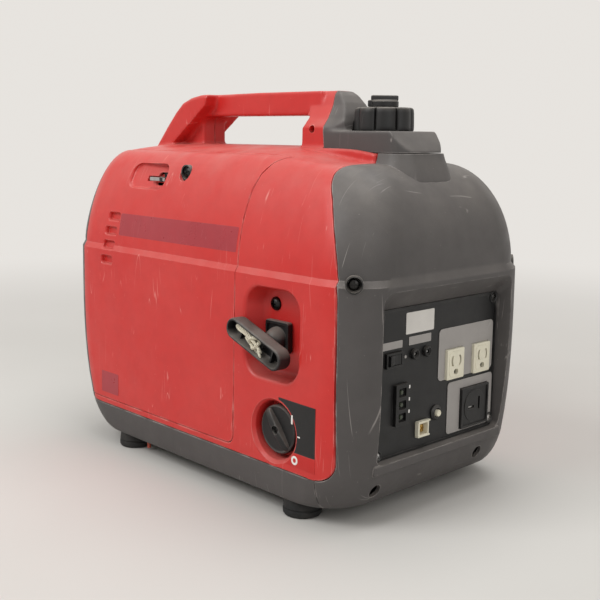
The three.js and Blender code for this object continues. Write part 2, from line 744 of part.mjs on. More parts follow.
// ---- Starter -----------------------------------------------------------------------------------
const reelX = GRIP.x;
const shaftCentre = [0, SHAFT_Z];
const housing = { x: [reelX - 16.6, reelX + 18], radius: ROPE_TURN + 22, post: 8 };

function starterHousing() {
  const [x0, x1] = housing.x;
  const cup = tube("x", housing.radius, housing.radius - WALL, [x0, x1 - WALL], shaftCentre, 28);
  const wall = rod("x", housing.radius, [x1 - WALL - 0.1, x1], shaftCentre, 28);
  const post = rod("x", housing.post, [reelX - 7.4, x1 - WALL], shaftCentre, 14);
  const ropeSlot = rod("y", ROPE / 2 + 2, [-FAR, 0], [reelX, ROPE_Z], 10);
  return union(cup.subtract(ropeSlot), wall, post);
}

function ropeReel() {
  const rim = ROPE_TURN + ROPE / 2 + 3;
  const bore = housing.post + RUN;
  const groove = ROPE_TURN - ROPE / 2 - GAP;
  const halfGroove = ROPE / 2 + GAP;
  const whole = tube("x", rim, bore, [reelX - 7, reelX + 7], shaftCentre, 28);
  const track = tube("x", rim + 1, groove, [reelX - halfGroove, reelX + halfGroove], shaftCentre, 28);
  return whole.subtract(track);
}

function recoilSpring() {
  const x = [reelX + 7 + 2 * GAP, housing.x[1] - WALL - GAP];
  return tube("x", ROPE_TURN - 6, housing.post + 4, x, shaftCentre, 20);
}

function starterRope() {
  const ring = tube(
    "x",
    ROPE_TURN + ROPE / 2,
    ROPE_TURN - ROPE / 2,
    [reelX - ROPE / 2, reelX + ROPE / 2],
    shaftCentre,
    32,
  );
  const run = rod("y", ROPE / 2, [-GRIP_BACK - GRIP.wall - 4, 0], [reelX, ROPE_Z], 8);
  return union(ring, run);
}

function ropeGuide() {
  const y = [-GRIP_BACK + 4, -RECESS_FLOOR - GAP];
  const flange = prism(
    roundRect(spread([reelX, reelX], 17), spread([ROPE_Z + 3, ROPE_Z + 3], 15), 4),
    "xz",
    [y[1] - 8, y[1]],
    2,
  );
  const nose = rod("y", 9, [y[0], y[1]], [reelX, ROPE_Z], 16);
  const neck = rod("y", ROPE / 2 + 4, [y[1] - 1, -RECESS_FLOOR + WALL], [reelX, ROPE_Z], 16);
  return union(flange, nose, neck).subtract(rod("y", ROPE / 2 + RUN, [-FAR, FAR], [reelX, ROPE_Z], 12));
}

function starterGrip() {
  const { length, height, wall, tilt } = GRIP;
  const depth = GRIP_FACE - GRIP_BACK;
  const shell = roundRect([-length / 2, length / 2], [-height / 2, height / 2], height / 2 - 1);
  const hollow = roundRect(
    spread([-length / 2, length / 2], -wall),
    spread([-height / 2, height / 2], -wall),
    height / 2 - 1 - wall,
  );
  const settings = { bevelEnabled: false, curveSegments: 6 };
  const solid = (shape, from, to) => {
    const geometry = new THREE.ExtrudeGeometry(shape, { ...settings, depth: to - from });
    geometry.translate(0, 0, from);
    geometry.rotateZ(THREE.MathUtils.degToRad(-tilt));
    geometry.rotateX(Math.PI / 2);
    return solidOf(geometry.translate(GRIP.x, -GRIP_BACK, ROPE_Z));
  };
  const ropeHole = rod("y", ROPE / 2 + GAP, [-FAR, FAR], [GRIP.x, ROPE_Z], 12);
  return solid(shell, 0, depth).subtract(solid(hollow, wall + 2, depth + 1)).subtract(ropeHole);
}

// ---- Engine switch and choke -------------------------------------------------------------------
const switchCentre = [SWITCH.x, SWITCH_Z];

function switchKnob() {
  const y = [-sideAt(SWITCH_Z) + 6, -SWITCH_FLOOR - RUN];
  const disc = rod("y", SWITCH.knob, y, switchCentre, 24);
  const spindle = rod("y", 5, [y[1] - 1, -SWITCH_FLOOR + 10], switchCentre, 14);
  const bar = new THREE.BoxGeometry(2 * SWITCH.knob - 3, 10, 7).rotateY(THREE.MathUtils.degToRad(50));
  bar.translate(SWITCH.x, y[0] - 3, SWITCH_Z);
  return union(disc, spindle, solidOf(bar));
}

function switchBody() {
  const y = [-SWITCH_FLOOR + WALL + GAP, -SWITCH_FLOOR + WALL + 22];
  const block = box(spread([SWITCH.x, SWITCH.x], 17), y, spread([SWITCH_Z, SWITCH_Z], 17));
  return block.subtract(rod("y", 5 + RUN, [-FAR, y[0] + 12], switchCentre, 14));
}

const chokeY = -sideAt((CHOKE_SLOT.z0 + CHOKE_SLOT.z1) / 2);

function chokeLever() {
  const z = (CHOKE_SLOT.z0 + CHOKE_SLOT.z1) / 2;
  const x = CHOKE_SLOT.x1 - 14;
  const slide = box([x - 12, x + 8], [chokeY + 16, chokeY + 19], [z - 30, z + 6]);
  const tab = box([x - 3, x + 3], [chokeY + 3, chokeY + 17], [z - 4, z + 3]);
  return union(slide, tab);
}

function chokeShaft() {
  const x = CHOKE_SLOT.x1 - 20;
  const z = 218;
  const rodPart = rod("y", 3, [-96, -80], [x, z], 10);
  return union(rodPart, box([x - 3, x + 3], [-99, -96 + 0.5], [z - 3, z + 18]));
}

// ---- Engine ------------------------------------------------------------------------------------
const crankcaseX = [-120, 15];
const crankcaseZ = [64, 185];
const cylinderTop = 262;
const headTop = 290;
const CASTING = 6; // wall of the crankcase

function crankcase() {
  const block = (grow) => {
    const outline = roundRect(spread([-62, 62], grow), spread(crankcaseZ, grow), 16 + grow);
    return prism(outline, "yz", spread(crankcaseX, grow), 2);
  };
  const sump = box([crankcaseX[0] + 10, crankcaseX[1] - 10], [-80, -60], [crankcaseZ[0], 100]);
  const bore = rod("x", 11 + RUN, [-FAR, FAR], shaftCentre, 20);
  return union(block(0), sump).subtract(block(-CASTING)).subtract(bore).subtract(oilBore());
}

const oilCentre = [-70, 84];

function oilBore() {
  return rod("y", 8 + RUN, [-FAR, CASTING - 60], oilCentre, 14);
}

function oilCap() {
  const head = rod("y", 15, [-96, -81], oilCentre, 12);
  const stem = rod("y", 8, [-82, -66], oilCentre, 14);
  return union(head, stem);
}

function cylinder() {
  const z = [crankcaseZ[1] + GAP, cylinderTop];
  const fins = [0, 1, 2, 3, 4].map((i) => {
    const low = z[0] + 10 + i * 13;
    return box([PLUG_X - 45, PLUG_X + 45], [-45, 45], [low, low + 3]);
  });
  return union(rod("z", 34, z, [PLUG_X, 0], 20), ...fins);
}

function headCover() {
  const z = [cylinderTop + GAP, headTop];
  return prism(roundRect([PLUG_X - 40, PLUG_X + 40], [-38, 38], 10), "xy", z, 2);
}

function sparkPlug() {
  const shell = rod("z", 7, [headTop + GAP, headTop + 18], [PLUG_X, 0], 6);
  const ceramic = rod("z", 4, [headTop + 17, headTop + 42], [PLUG_X, 0], 10);
  return union(shell, ceramic);
}

function plugCap() {
  const z0 = headTop + 24;
  const boot = rod("z", 10, [z0, z0 + 30], [PLUG_X, 0], 14);
  return boot.subtract(rod("z", 4 + GAP, [z0 - 1, headTop + 42 + GAP], [PLUG_X, 0], 10));
}

function crankshaft() {
  const thin = rod("x", 11, [crankcaseX[0] - 10, reelX - 8], shaftCentre, 20);
  const cup = rod("x", 26, [reelX - 16, reelX - 8], shaftCentre, 20);
  return union(thin, cup);
}

const rotorX = [36, 92];

function rotor() {
  const rim = tube("x", 66, 58, rotorX, shaftCentre, 28);
  const disc = tube("x", 66, 11 + GAP, [rotorX[1] - 5, rotorX[1]], shaftCentre, 28);
  return union(rim, disc);
}

function stator() {
  const x = [rotorX[0], rotorX[1] - 5 - RUN - 3];
  const core = tube("x", 57, 16, x, shaftCentre, 24);
  const slots = [0, 1, 2, 3, 4, 5, 6, 7, 8, 9, 10, 11].map((i) => {
    const slot = new THREE.BoxGeometry(x[1] - x[0] + 2, 12, 40).translate(0, 0, 48);
    slot.rotateX(((i + 0.5) * Math.PI) / 6);
    return solidOf(slot.translate((x[0] + x[1]) / 2, 0, SHAFT_Z));
  });
  const neck = tube("x", 24, 16, [crankcaseX[1] + GAP, rotorX[0] + 1], shaftCentre, 20);
  return union(core, neck).subtract(union(...slots));
}

function coolingFan() {
  const x = [rotorX[1] + GAP, rotorX[1] + 18];
  const plate = tube("x", 62, 11 + GAP, [x[0], x[0] + 3], shaftCentre, 24);
  const blades = [0, 1, 2, 3, 4, 5, 6, 7, 8, 9].map((i) => {
    const blade = new THREE.BoxGeometry(x[1] - x[0] - 2, 3, 34).translate(0, 6, 42);
    blade.rotateX((i * Math.PI) / 5);
    return solidOf(blade.translate((x[0] + x[1]) / 2 + 1, 0, SHAFT_Z));
  });
  return union(plate, ...blades);
}

function fanShroud() {
  return tube("x", 73, 70, [crankcaseX[1] + 5, housing.x[0] - GAP], shaftCentre, 28);
}

function ignitionCoil() {
  return prism(roundRect([55, 85], [SHAFT_Z + 75, SHAFT_Z + 105], 4), "xz", [-12, 12], 2);
}

function carburettor() {
  const body = box([PLUG_X - 20, PLUG_X + 18], [-98, -62], [196, 236]);
  const bowl = rod("z", 15, [180, 197], [PLUG_X, -80], 16);
  const throat = rod("y", 13, [-108, -46 - GAP], [PLUG_X, 216], 16);
  return union(body, bowl, throat);
}

const airCase = { x: [-6, 68], y: [17 - HALF, -84], z: [126, 232] };

function airCleanerCase() {
  const { x, y, z } = airCase;
  return box(x, y, z).subtract(box(spread(x, -WALL), [y[0] - 1, y[1] - WALL], spread(z, -WALL)));
}

function airFilter() {
  const { x, y, z } = airCase;
  const rim = WALL + GAP;
  return box(spread(x, -rim), [y[0] + 8, y[1] - rim], spread(z, -rim));
}

function muffler() {
  const { x0, x1, half, z0, z1, corner, sheet } = MUFFLER;
  const can = (grow) => {
    const outline = roundRect(spread([-half, half], grow), spread([z0, z1], grow), corner + grow);
    return prism(outline, "yz", spread([x0, x1], grow));
  };
  const inlet = rod("x", TAIL.radius - TAIL.sheet, [x0 - 1, x0 + sheet + 1], [0, TAIL.z], 18);
  return can(0).subtract(can(-sheet)).subtract(inlet);
}

function exhaustOutlet() {
  const x = [rearAt(TAIL.z) - 1, MUFFLER.x0 - GAP];
  return tube("x", TAIL.radius, TAIL.radius - TAIL.sheet, x, [0, TAIL.z], 18);
}

function mountBlock(x) {
  const z = [BODY_BOTTOM + WALL + GAP, crankcaseZ[0] - GAP];
  return box([x - 16, x + 16], [-58, 58], z);
}

// ---- Tank, inverter and hose -------------------------------------------------------------------
function fuelTank() {
  const { x0, x1, side, z0, z1 } = TANK;
  const half = HALF - side;
  const wedge = across([[x0 - 1, z1 + 1], [x1 + 1, z1 + 1], [x1 + 1, z1 - 42], [x1 - 22, z1]]);
  const body = (grow) => {
    const plan = roundRect(spread([x0, x1], grow), spread([-half, half], grow), 28 + grow);
    return prism(plan, "xy", spread([z0, z1], grow)).subtract(wedge.translate([grow, 0, grow]));
  };
  const neck = rod("z", CAP.neck, [z1 - 2, gasketZ[0] - GAP], [FILLER.x, 0], 24);
  const bore = rod("z", CAP.neck - WALL, [z1 - WALL - 1, FAR], [FILLER.x, 0], 24);
  return union(body(0), neck).subtract(body(-WALL)).subtract(bore);
}

function inverterUnit() {
  const x1 = panelFace - PANEL.thickness - OUTLET.depth - 4;
  const x0 = housing.x[1] + 4;
  const fins = [0, 1, 2, 3, 4, 5, 6, 7].map((i) => {
    const y = -80 + i * 21;
    return box([x0, x0 + 12], [y, y + 13], [49, 222]);
  });
  return box([x0, x1], [-88, 88], [48, 224]).subtract(union(...fins));
}

function drainHose() {
  return rod("z", DRAIN.radius, [DRAIN.tip, DRAIN.top], [DRAIN.x, DRAIN_Y], 8);
}

function coverScrew() {
  const z = COVER_SCREW.z;
  const y = -sideAt(z);
  const head = rod("y", COVER_SCREW.head, [y + 1, y + 8], [COVER_SCREW.x, z], 12);
  return union(head, rod("y", COVER_SCREW.shank, [y + 7, y + 24], [COVER_SCREW.x, z], 10));
}

// ---- Assembly ----------------------------------------------------------------------------------
const generator = new THREE.Group();
generator.position.y = (GRIP_FACE - HALF) / 2; // the origin stands under the middle of the box

function addPiece(name, look, solid) {
  const mesh = new THREE.Mesh(geometryOf(solid), new THREE.MeshStandardMaterial(look));
  mesh.name = name;
  generator.add(mesh);
}

addPiece("left_shell", RED, leftShell());
addPiece("right_shell", RED, rightShell());
addPiece("maintenance_cover", RED, maintenanceCover());
addPiece("front_cover", CHARCOAL, frontCover());
addPiece("rear_cover", CHARCOAL, rearCover());
addPiece("under_cover", CHARCOAL, underCover());
addPiece("filler_surround", CHARCOAL, fillerSurround());
addPiece("spark_plug_cover", RED, plugCover());
addPiece("cover_screw", BLACK, coverScrew());
[["front", FOOT.front], ["rear", FOOT.rear]].forEach(([end, x]) => {
  addPiece("foot_" + end + "_left", RUBBER, foot(x, -FOOT_Y));
  addPiece("foot_" + end + "_right", RUBBER, foot(x, FOOT_Y));
});

addPiece("control_panel", BLACK, controlPanel());
addPiece("ac_outlet_left", CREAM, acOutlet(OUTLET.y[0]));
addPiece("ac_outlet_right", CREAM, acOutlet(OUTLET.y[1]));
addPiece("dc_outlet", BLACK, dcOutlet());
addPiece("ground_terminal", CREAM, groundTerminal());
addPiece("parallel_socket_left", BLACK, parallelSocket(PARALLEL.y[0]));
addPiece("parallel_socket_right", BLACK, parallelSocket(PARALLEL.y[1]));
addPiece("indicator_block", BLACK, indicatorBlock());
addPiece("eco_switch_frame", BLACK, ecoFrame());
addPiece("eco_rocker", BLACK, ecoRocker());
addPiece("breaker_body", BLACK, breakerBody());
addPiece("breaker_button", CREAM, breakerButton());

addPiece("fuel_tank", BLACK, fuelTank());
addPiece("fuel_cap", BLACK, fuelCap());
addPiece("cap_gasket", RUBBER, capGasket());
addPiece("vent_lever", BLACK, ventLever());
addPiece("inverter_unit", ALUMINIUM, inverterUnit());

addPiece("starter_housing", BLACK, starterHousing());
addPiece("rope_reel", BLACK, ropeReel());
addPiece("recoil_spring", STEEL, recoilSpring());
addPiece("starter_rope", CREAM, starterRope());
addPiece("rope_guide", BLACK, ropeGuide());
addPiece("starter_grip", BLACK, starterGrip());
addPiece("engine_switch_knob", BLACK, switchKnob());
addPiece("engine_switch_body", BLACK, switchBody());
addPiece("choke_lever", STEEL, chokeLever());
addPiece("choke_shaft", BRASS, chokeShaft());

addPiece("crankcase", ALUMINIUM, crankcase());
addPiece("cylinder", ALUMINIUM, cylinder());
addPiece("head_cover", ALUMINIUM, headCover());
addPiece("crankshaft", STEEL, crankshaft());
addPiece("rotor", STEEL, rotor());
addPiece("stator", STEEL, stator());
addPiece("cooling_fan", BLACK, coolingFan());
addPiece("fan_shroud", BLACK, fanShroud());
addPiece("ignition_coil", BLACK, ignitionCoil());
addPiece("spark_plug", STEEL, sparkPlug());
addPiece("spark_plug_cap", RUBBER, plugCap());
addPiece("oil_filler_cap", BLACK, oilCap());
addPiece("carburettor", ALUMINIUM, carburettor());
addPiece("air_cleaner_case", BLACK, airCleanerCase());
addPiece("air_filter", RUBBER, airFilter());
addPiece("muffler", STEEL, muffler());
addPiece("exhaust_outlet", STEEL, exhaustOutlet());
addPiece("mount_front", RUBBER, mountBlock(-10));
addPiece("mount_rear", RUBBER, mountBlock(-96));
addPiece("drain_hose", RUBBER, drainHose());

export default generator;
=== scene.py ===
"""Looks of a suitcase-style inverter generator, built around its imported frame."""

import json
import logging
import math
from collections.abc import Callable
from dataclasses import dataclass, field
from enum import Enum

import bmesh
import bpy
from mathutils import Matrix, Vector


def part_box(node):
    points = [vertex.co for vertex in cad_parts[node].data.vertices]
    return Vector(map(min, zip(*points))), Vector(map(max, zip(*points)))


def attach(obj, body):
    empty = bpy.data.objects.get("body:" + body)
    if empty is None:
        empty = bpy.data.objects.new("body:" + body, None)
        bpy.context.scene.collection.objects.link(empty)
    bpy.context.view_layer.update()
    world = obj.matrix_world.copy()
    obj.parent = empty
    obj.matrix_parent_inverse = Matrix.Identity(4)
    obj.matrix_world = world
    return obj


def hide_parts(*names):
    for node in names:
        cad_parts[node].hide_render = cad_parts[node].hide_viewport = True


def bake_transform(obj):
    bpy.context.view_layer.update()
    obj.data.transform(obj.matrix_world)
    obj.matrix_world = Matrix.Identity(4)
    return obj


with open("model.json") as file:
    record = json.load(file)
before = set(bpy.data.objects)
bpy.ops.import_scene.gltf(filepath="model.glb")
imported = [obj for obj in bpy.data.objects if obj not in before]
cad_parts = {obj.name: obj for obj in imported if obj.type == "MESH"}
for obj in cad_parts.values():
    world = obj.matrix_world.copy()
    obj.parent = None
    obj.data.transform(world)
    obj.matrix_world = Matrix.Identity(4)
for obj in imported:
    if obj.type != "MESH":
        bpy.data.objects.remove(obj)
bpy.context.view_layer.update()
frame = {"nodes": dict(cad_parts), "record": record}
LOG = logging.getLogger("generator")
MM = 0.001
FAR = 700.0  # longer than any piece, for cutters
MIDDLE = (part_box("left_shell")[1].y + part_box("right_shell")[0].y) / 2  # the body's mid-plane

Span = tuple[float, float]
Point = tuple[float, float]


class Axis(Enum):
    """Which way a rod, a plate or a turned shape faces."""

    X = Matrix(((0, 0, 1), (1, 0, 0), (0, 1, 0)))
    Y = Matrix(((1, 0, 0), (0, 0, 1), (0, 1, 0)))
    Z = Matrix.Identity(3)


def spread(span: Span, by: float) -> Span:
    """Returns the span grown by an amount at both ends."""
    return span[0] - by, span[1] + by


def clamp(value: float) -> float:
    """Returns the value held between 0 and 1."""
    return min(1.0, max(0.0, value))


# ---- Solids -------------------------------------------------------------------------------------
class Solid:
    """A closed mesh in millimetres, about the body's mid-plane, that can be joined and cut."""

    def __init__(self, mesh: bpy.types.Mesh) -> None:
        """Holds a mesh.

        Args:
            mesh: Closed surface with its faces pointing outwards.
        """
        self.mesh = mesh

    @classmethod
    def of(cls, bm: bmesh.types.BMesh, weld: float = 1e-4) -> "Solid":
        """Makes a solid of a bmesh and frees it.

        Args:
            bm: The shape, closed.
            weld: Distance under which points are merged.

        Returns:
            The solid.
        """
        bmesh.ops.remove_doubles(bm, verts=bm.verts, dist=weld)
        bmesh.ops.recalc_face_normals(bm, faces=bm.faces)
        mesh = bpy.data.meshes.new("solid")
        bm.to_mesh(mesh)
        bm.free()
        return cls(mesh)

    def _apply(self, build: Callable[[bpy.types.Object], None]) -> "Solid":
        """Runs modifiers on the mesh and returns what they make.

        Args:
            build: Takes the temporary object and adds its modifiers.

        Returns:
            The new solid.
        """
        host = bpy.data.objects.new("host", self.mesh)
        bpy.context.scene.collection.objects.link(host)
        build(host)
        bpy.context.view_layer.update()
        shown = host.evaluated_get(bpy.context.evaluated_depsgraph_get())
        mesh = bpy.data.meshes.new_from_object(shown)
        bpy.data.objects.remove(host)
        return Solid(mesh)

    def _combine(self, others: tuple["Solid", ...], operation: str) -> "Solid":
        """Runs one Boolean after another.

        Args:
            others: The solids to combine with, in order.
            operation: UNION, DIFFERENCE or INTERSECT.

        Returns:
            The new solid.
        """
        tools = [bpy.data.objects.new("tool", other.mesh) for other in others]
        for tool in tools:
            bpy.context.scene.collection.objects.link(tool)

        def build(host: bpy.types.Object) -> None:
            """Adds the Boolean modifiers to the temporary object."""
            for tool in tools:
                step = host.modifiers.new("combine", "BOOLEAN")
                step.operation, step.solver, step.object = operation, "MANIFOLD", tool

        result = self._apply(build)
        for tool in tools:
            bpy.data.objects.remove(tool)
        return result

    def join(self, *others: "Solid") -> "Solid":
        """Returns this solid with others added."""
        return self._combine(others, "UNION")

    def cut(self, *others: "Solid") -> "Solid":
        """Returns this solid with others taken away."""
        return self._combine(others, "DIFFERENCE")

    def common(self, *others: "Solid") -> "Solid":
        """Returns what this solid shares with others."""
        return self._combine(others, "INTERSECT")

    def softened(self, voxel: float, passes: int) -> "Solid":
        """Rebuilds the surface on an even grid and rounds its edges.

        Args:
            voxel: Grid size.
            passes: How many times the surface is smoothed.

        Returns:
            The rounded solid.
        """

        def build(host: bpy.types.Object) -> None:
            """Adds the remesh and the smoothing."""
            grid = host.modifiers.new("grid", "REMESH")
            grid.mode, grid.voxel_size = "VOXEL", voxel
            ease = host.modifiers.new("ease", "SMOOTH")
            ease.factor, ease.iterations = 0.5, passes

        return self._apply(build)

    def moved(self, matrix: Matrix) -> "Solid":
        """Returns a copy carried by a matrix."""
        mesh = self.mesh.copy()
        mesh.transform(matrix)
        return Solid(mesh)


def box(x: Span, y: Span, z: Span, bevel: float = 0.0, steps: int = 3) -> Solid:
    """Makes a block.

    Args:
        x: From and to along X.
        y: From and to along Y.
        z: From and to along Z.
        bevel: Radius of its edges.
        steps: Segments of those edges.

    Returns:
        The block.
    """
    bm = bmesh.new()
    bmesh.ops.create_cube(bm, size=1.0)
    bmesh.ops.scale(bm, vec=(x[1] - x[0], y[1] - y[0], z[1] - z[0]), verts=bm.verts)
    bmesh.ops.translate(bm, vec=((x[0] + x[1]) / 2, (y[0] + y[1]) / 2, (z[0] + z[1]) / 2), verts=bm.verts)
    round_edges(bm, list(bm.edges), bevel, steps)
    return Solid.of(bm)


def below(z: float) -> Solid:
    """Returns everything under a height."""
    return box((-FAR, FAR), (-FAR, FAR), (-FAR, z))


def round_edges(bm: bmesh.types.BMesh, edges: list[bmesh.types.BMEdge], radius: float,
                steps: int = 3) -> None:
    """Bevels edges to a round, where the radius isn't zero.

    Args:
        bm: The shape.
        edges: Its edges to round.
        radius: Radius of the round.
        steps: Segments across it.
    """
    if radius > 0:
        bmesh.ops.bevel(bm, geom=edges, offset=radius, offset_type="OFFSET", segments=steps, profile=0.5,
                        affect="EDGES", clamp_overlap=True, material=-1)


def rod(axis: Axis, radius: float, span: Span, centre: Point, bevel: float = 0.0, sides: int = 48) -> Solid:
    """Makes a round bar.

    Args:
        axis: The way it runs.
        radius: Its radius.
        span: From and to along the axis.
        centre: Its middle in the other two directions, in X, Y, Z order.
        bevel: Radius of its two end edges.
        sides: Facets round it.

    Returns:
        The bar.
    """
    low, high = span
    b = min(bevel, radius * 0.9, (high - low) * 0.45)
    profile = [(0, low), (radius, low), (radius, high), (0, high)] if b <= 0 else [
        (0, low), (radius - b, low), (radius - 0.3 * b, low + 0.3 * b), (radius, low + b),
        (radius, high - b), (radius - 0.3 * b, high - 0.3 * b), (radius - b, high), (0, high)]
    return turned(axis, profile, centre, sides)


def turned(axis: Axis, profile: list[Point], centre: Point, sides: int = 64) -> Solid:
    """Spins a profile round an axis.

    Args:
        axis: The axis that it's spun about.
        profile: Points of radius and height, from one end to the other, or round a closed ring.
        centre: The axis' place in the other two directions, in X, Y, Z order.
        sides: Facets round it.

    Returns:
        The turned solid.
    """
    bm = bmesh.new()
    verts = [bm.verts.new((r, 0, h)) for r, h in profile]
    ring = all(r > 1e-6 for r, _ in profile)
    edges = [bm.edges.new(pair) for pair in zip(verts, verts[1:] + verts[:1] if ring else verts[1:])]
    bmesh.ops.spin(bm, geom=verts + edges, cent=(0, 0, 0), axis=(0, 0, 1), angle=2 * math.pi, steps=sides,
                   use_merge=True, use_duplicate=False)
    return Solid.of(place(bm, axis, centre))


def place(bm: bmesh.types.BMesh, axis: Axis, centre: Point = (0.0, 0.0)) -> bmesh.types.BMesh:
    """Turns a shape drawn upright so that it runs along an axis, at a place across that axis."""
    bmesh.ops.transform(bm, matrix=axis.value.to_4x4(), verts=bm.verts)
    a, b = centre
    where = {Axis.X: (0, a, b), Axis.Y: (a, 0, b), Axis.Z: (a, b, 0)}[axis]
    bmesh.ops.translate(bm, vec=where, verts=bm.verts)
    return bm


def prism(axis: Axis, outline: list[Point], span: Span, corner: float = 0.0, steps: int = 6,
          bevel: float = 0.0) -> Solid:
    """Makes a plate of any outline.

    Args:
        axis: The way its thickness runs.
        outline: Its corners in the other two directions, in X, Y, Z order.
        span: From and to along the axis.
        corner: Radius of the outline's corners.
        steps: Segments of those corners.
        bevel: Radius of the edges of its two faces.

    Returns:
        The plate.
    """
    bm = bmesh.new()
    face = bm.faces.new([bm.verts.new((u, v, 0)) for u, v in outline])
    if corner > 0:
        bmesh.ops.bevel(bm, geom=list(bm.verts), offset=corner, offset_type="OFFSET", segments=steps,
                        profile=0.5, affect="VERTICES", clamp_overlap=True, material=-1)
        face = bm.faces[:][0]
    grown = bmesh.ops.extrude_face_region(bm, geom=[face])
    lifted = [v for v in grown["geom"] if isinstance(v, bmesh.types.BMVert)]
    bmesh.ops.translate(bm, vec=(0, 0, span[1] - span[0]), verts=lifted)
    bmesh.ops.translate(bm, vec=(0, 0, span[0]), verts=bm.verts)
    flat = [e for e in bm.edges if abs(e.verts[0].co.z - e.verts[1].co.z) < 1e-6]
    round_edges(bm, flat, bevel, 2)
    return Solid.of(place(bm, axis))


def rectangle(u: Span, v: Span) -> list[Point]:
    """Returns a rectangle's corners."""
    return [(u[0], v[0]), (u[1], v[0]), (u[1], v[1]), (u[0], v[1])]


def loft(rings: list[list[Vector]]) -> Solid:
    """Skins a row of closed rings and closes both ends.

    Args:
        rings: Rings with the same number of points each, in order.

    Returns:
        The lofted solid.
    """
    bm = bmesh.new()
    loops = []
    for ring in rings:
        made = bmesh.ops.create_circle(bm, segments=len(ring), radius=1.0)["verts"]
        for vert, at in zip(made, ring):
            vert.co = at
        loops.append([e for e in bm.edges if e.verts[0] in made and e.is_wire])
    for lower, upper in zip(loops, loops[1:]):
        bmesh.ops.bridge_loops(bm, edges=lower + upper)
    for end in (loops[0], loops[-1]):
        bmesh.ops.contextual_create(bm, geom=end)
    return Solid.of(bm, 1e-5)


def tube(points: list[Vector], radius: float, sides: int = 6, closed: bool = False) -> Solid:
    """Makes a round tube along a smooth path.

    Args:
        points: The path.
        radius: The tube's radius.
        sides: Quarter resolution of its section.
        closed: Whether the path is a loop.

    Returns:
        The tube, closed at its ends.
    """
    curve = bpy.data.curves.new("path", "CURVE")
    curve.dimensions, curve.bevel_depth, curve.bevel_resolution = "3D", radius, sides
    curve.use_fill_caps = not closed
    spline = curve.splines.new("POLY")
    spline.points.add(len(points) - 1)
    for knot, at in zip(spline.points, points):
        knot.co = (*at, 1)
    spline.use_cyclic_u = closed
    host = bpy.data.objects.new("path", curve)
    bpy.context.scene.collection.objects.link(host)
    bpy.context.view_layer.update()
    mesh = bpy.data.meshes.new_from_object(host.evaluated_get(bpy.context.evaluated_depsgraph_get()))
    bpy.data.objects.remove(host)
    bm = bmesh.new()
    bm.from_mesh(mesh)
    return Solid.of(bm)


def smooth_path(points: list[Vector], per: int = 8) -> list[Vector]:
    """Returns a smooth path through points, with a number of steps between each two."""
    last = len(points) - 1
    path = []
    for i in range(last):
        a, b, c, d = (points[min(max(i + k, 0), last)] for k in (-1, 0, 1, 2))
        for step in range(per):
            t = step / per
            path.append(0.5 * (2 * b + (c - a) * t + (2 * a - 5 * b + 4 * c - d) * t * t
                               + (3 * b - a - 3 * c + d) * t ** 3))
    return path + [points[-1]]


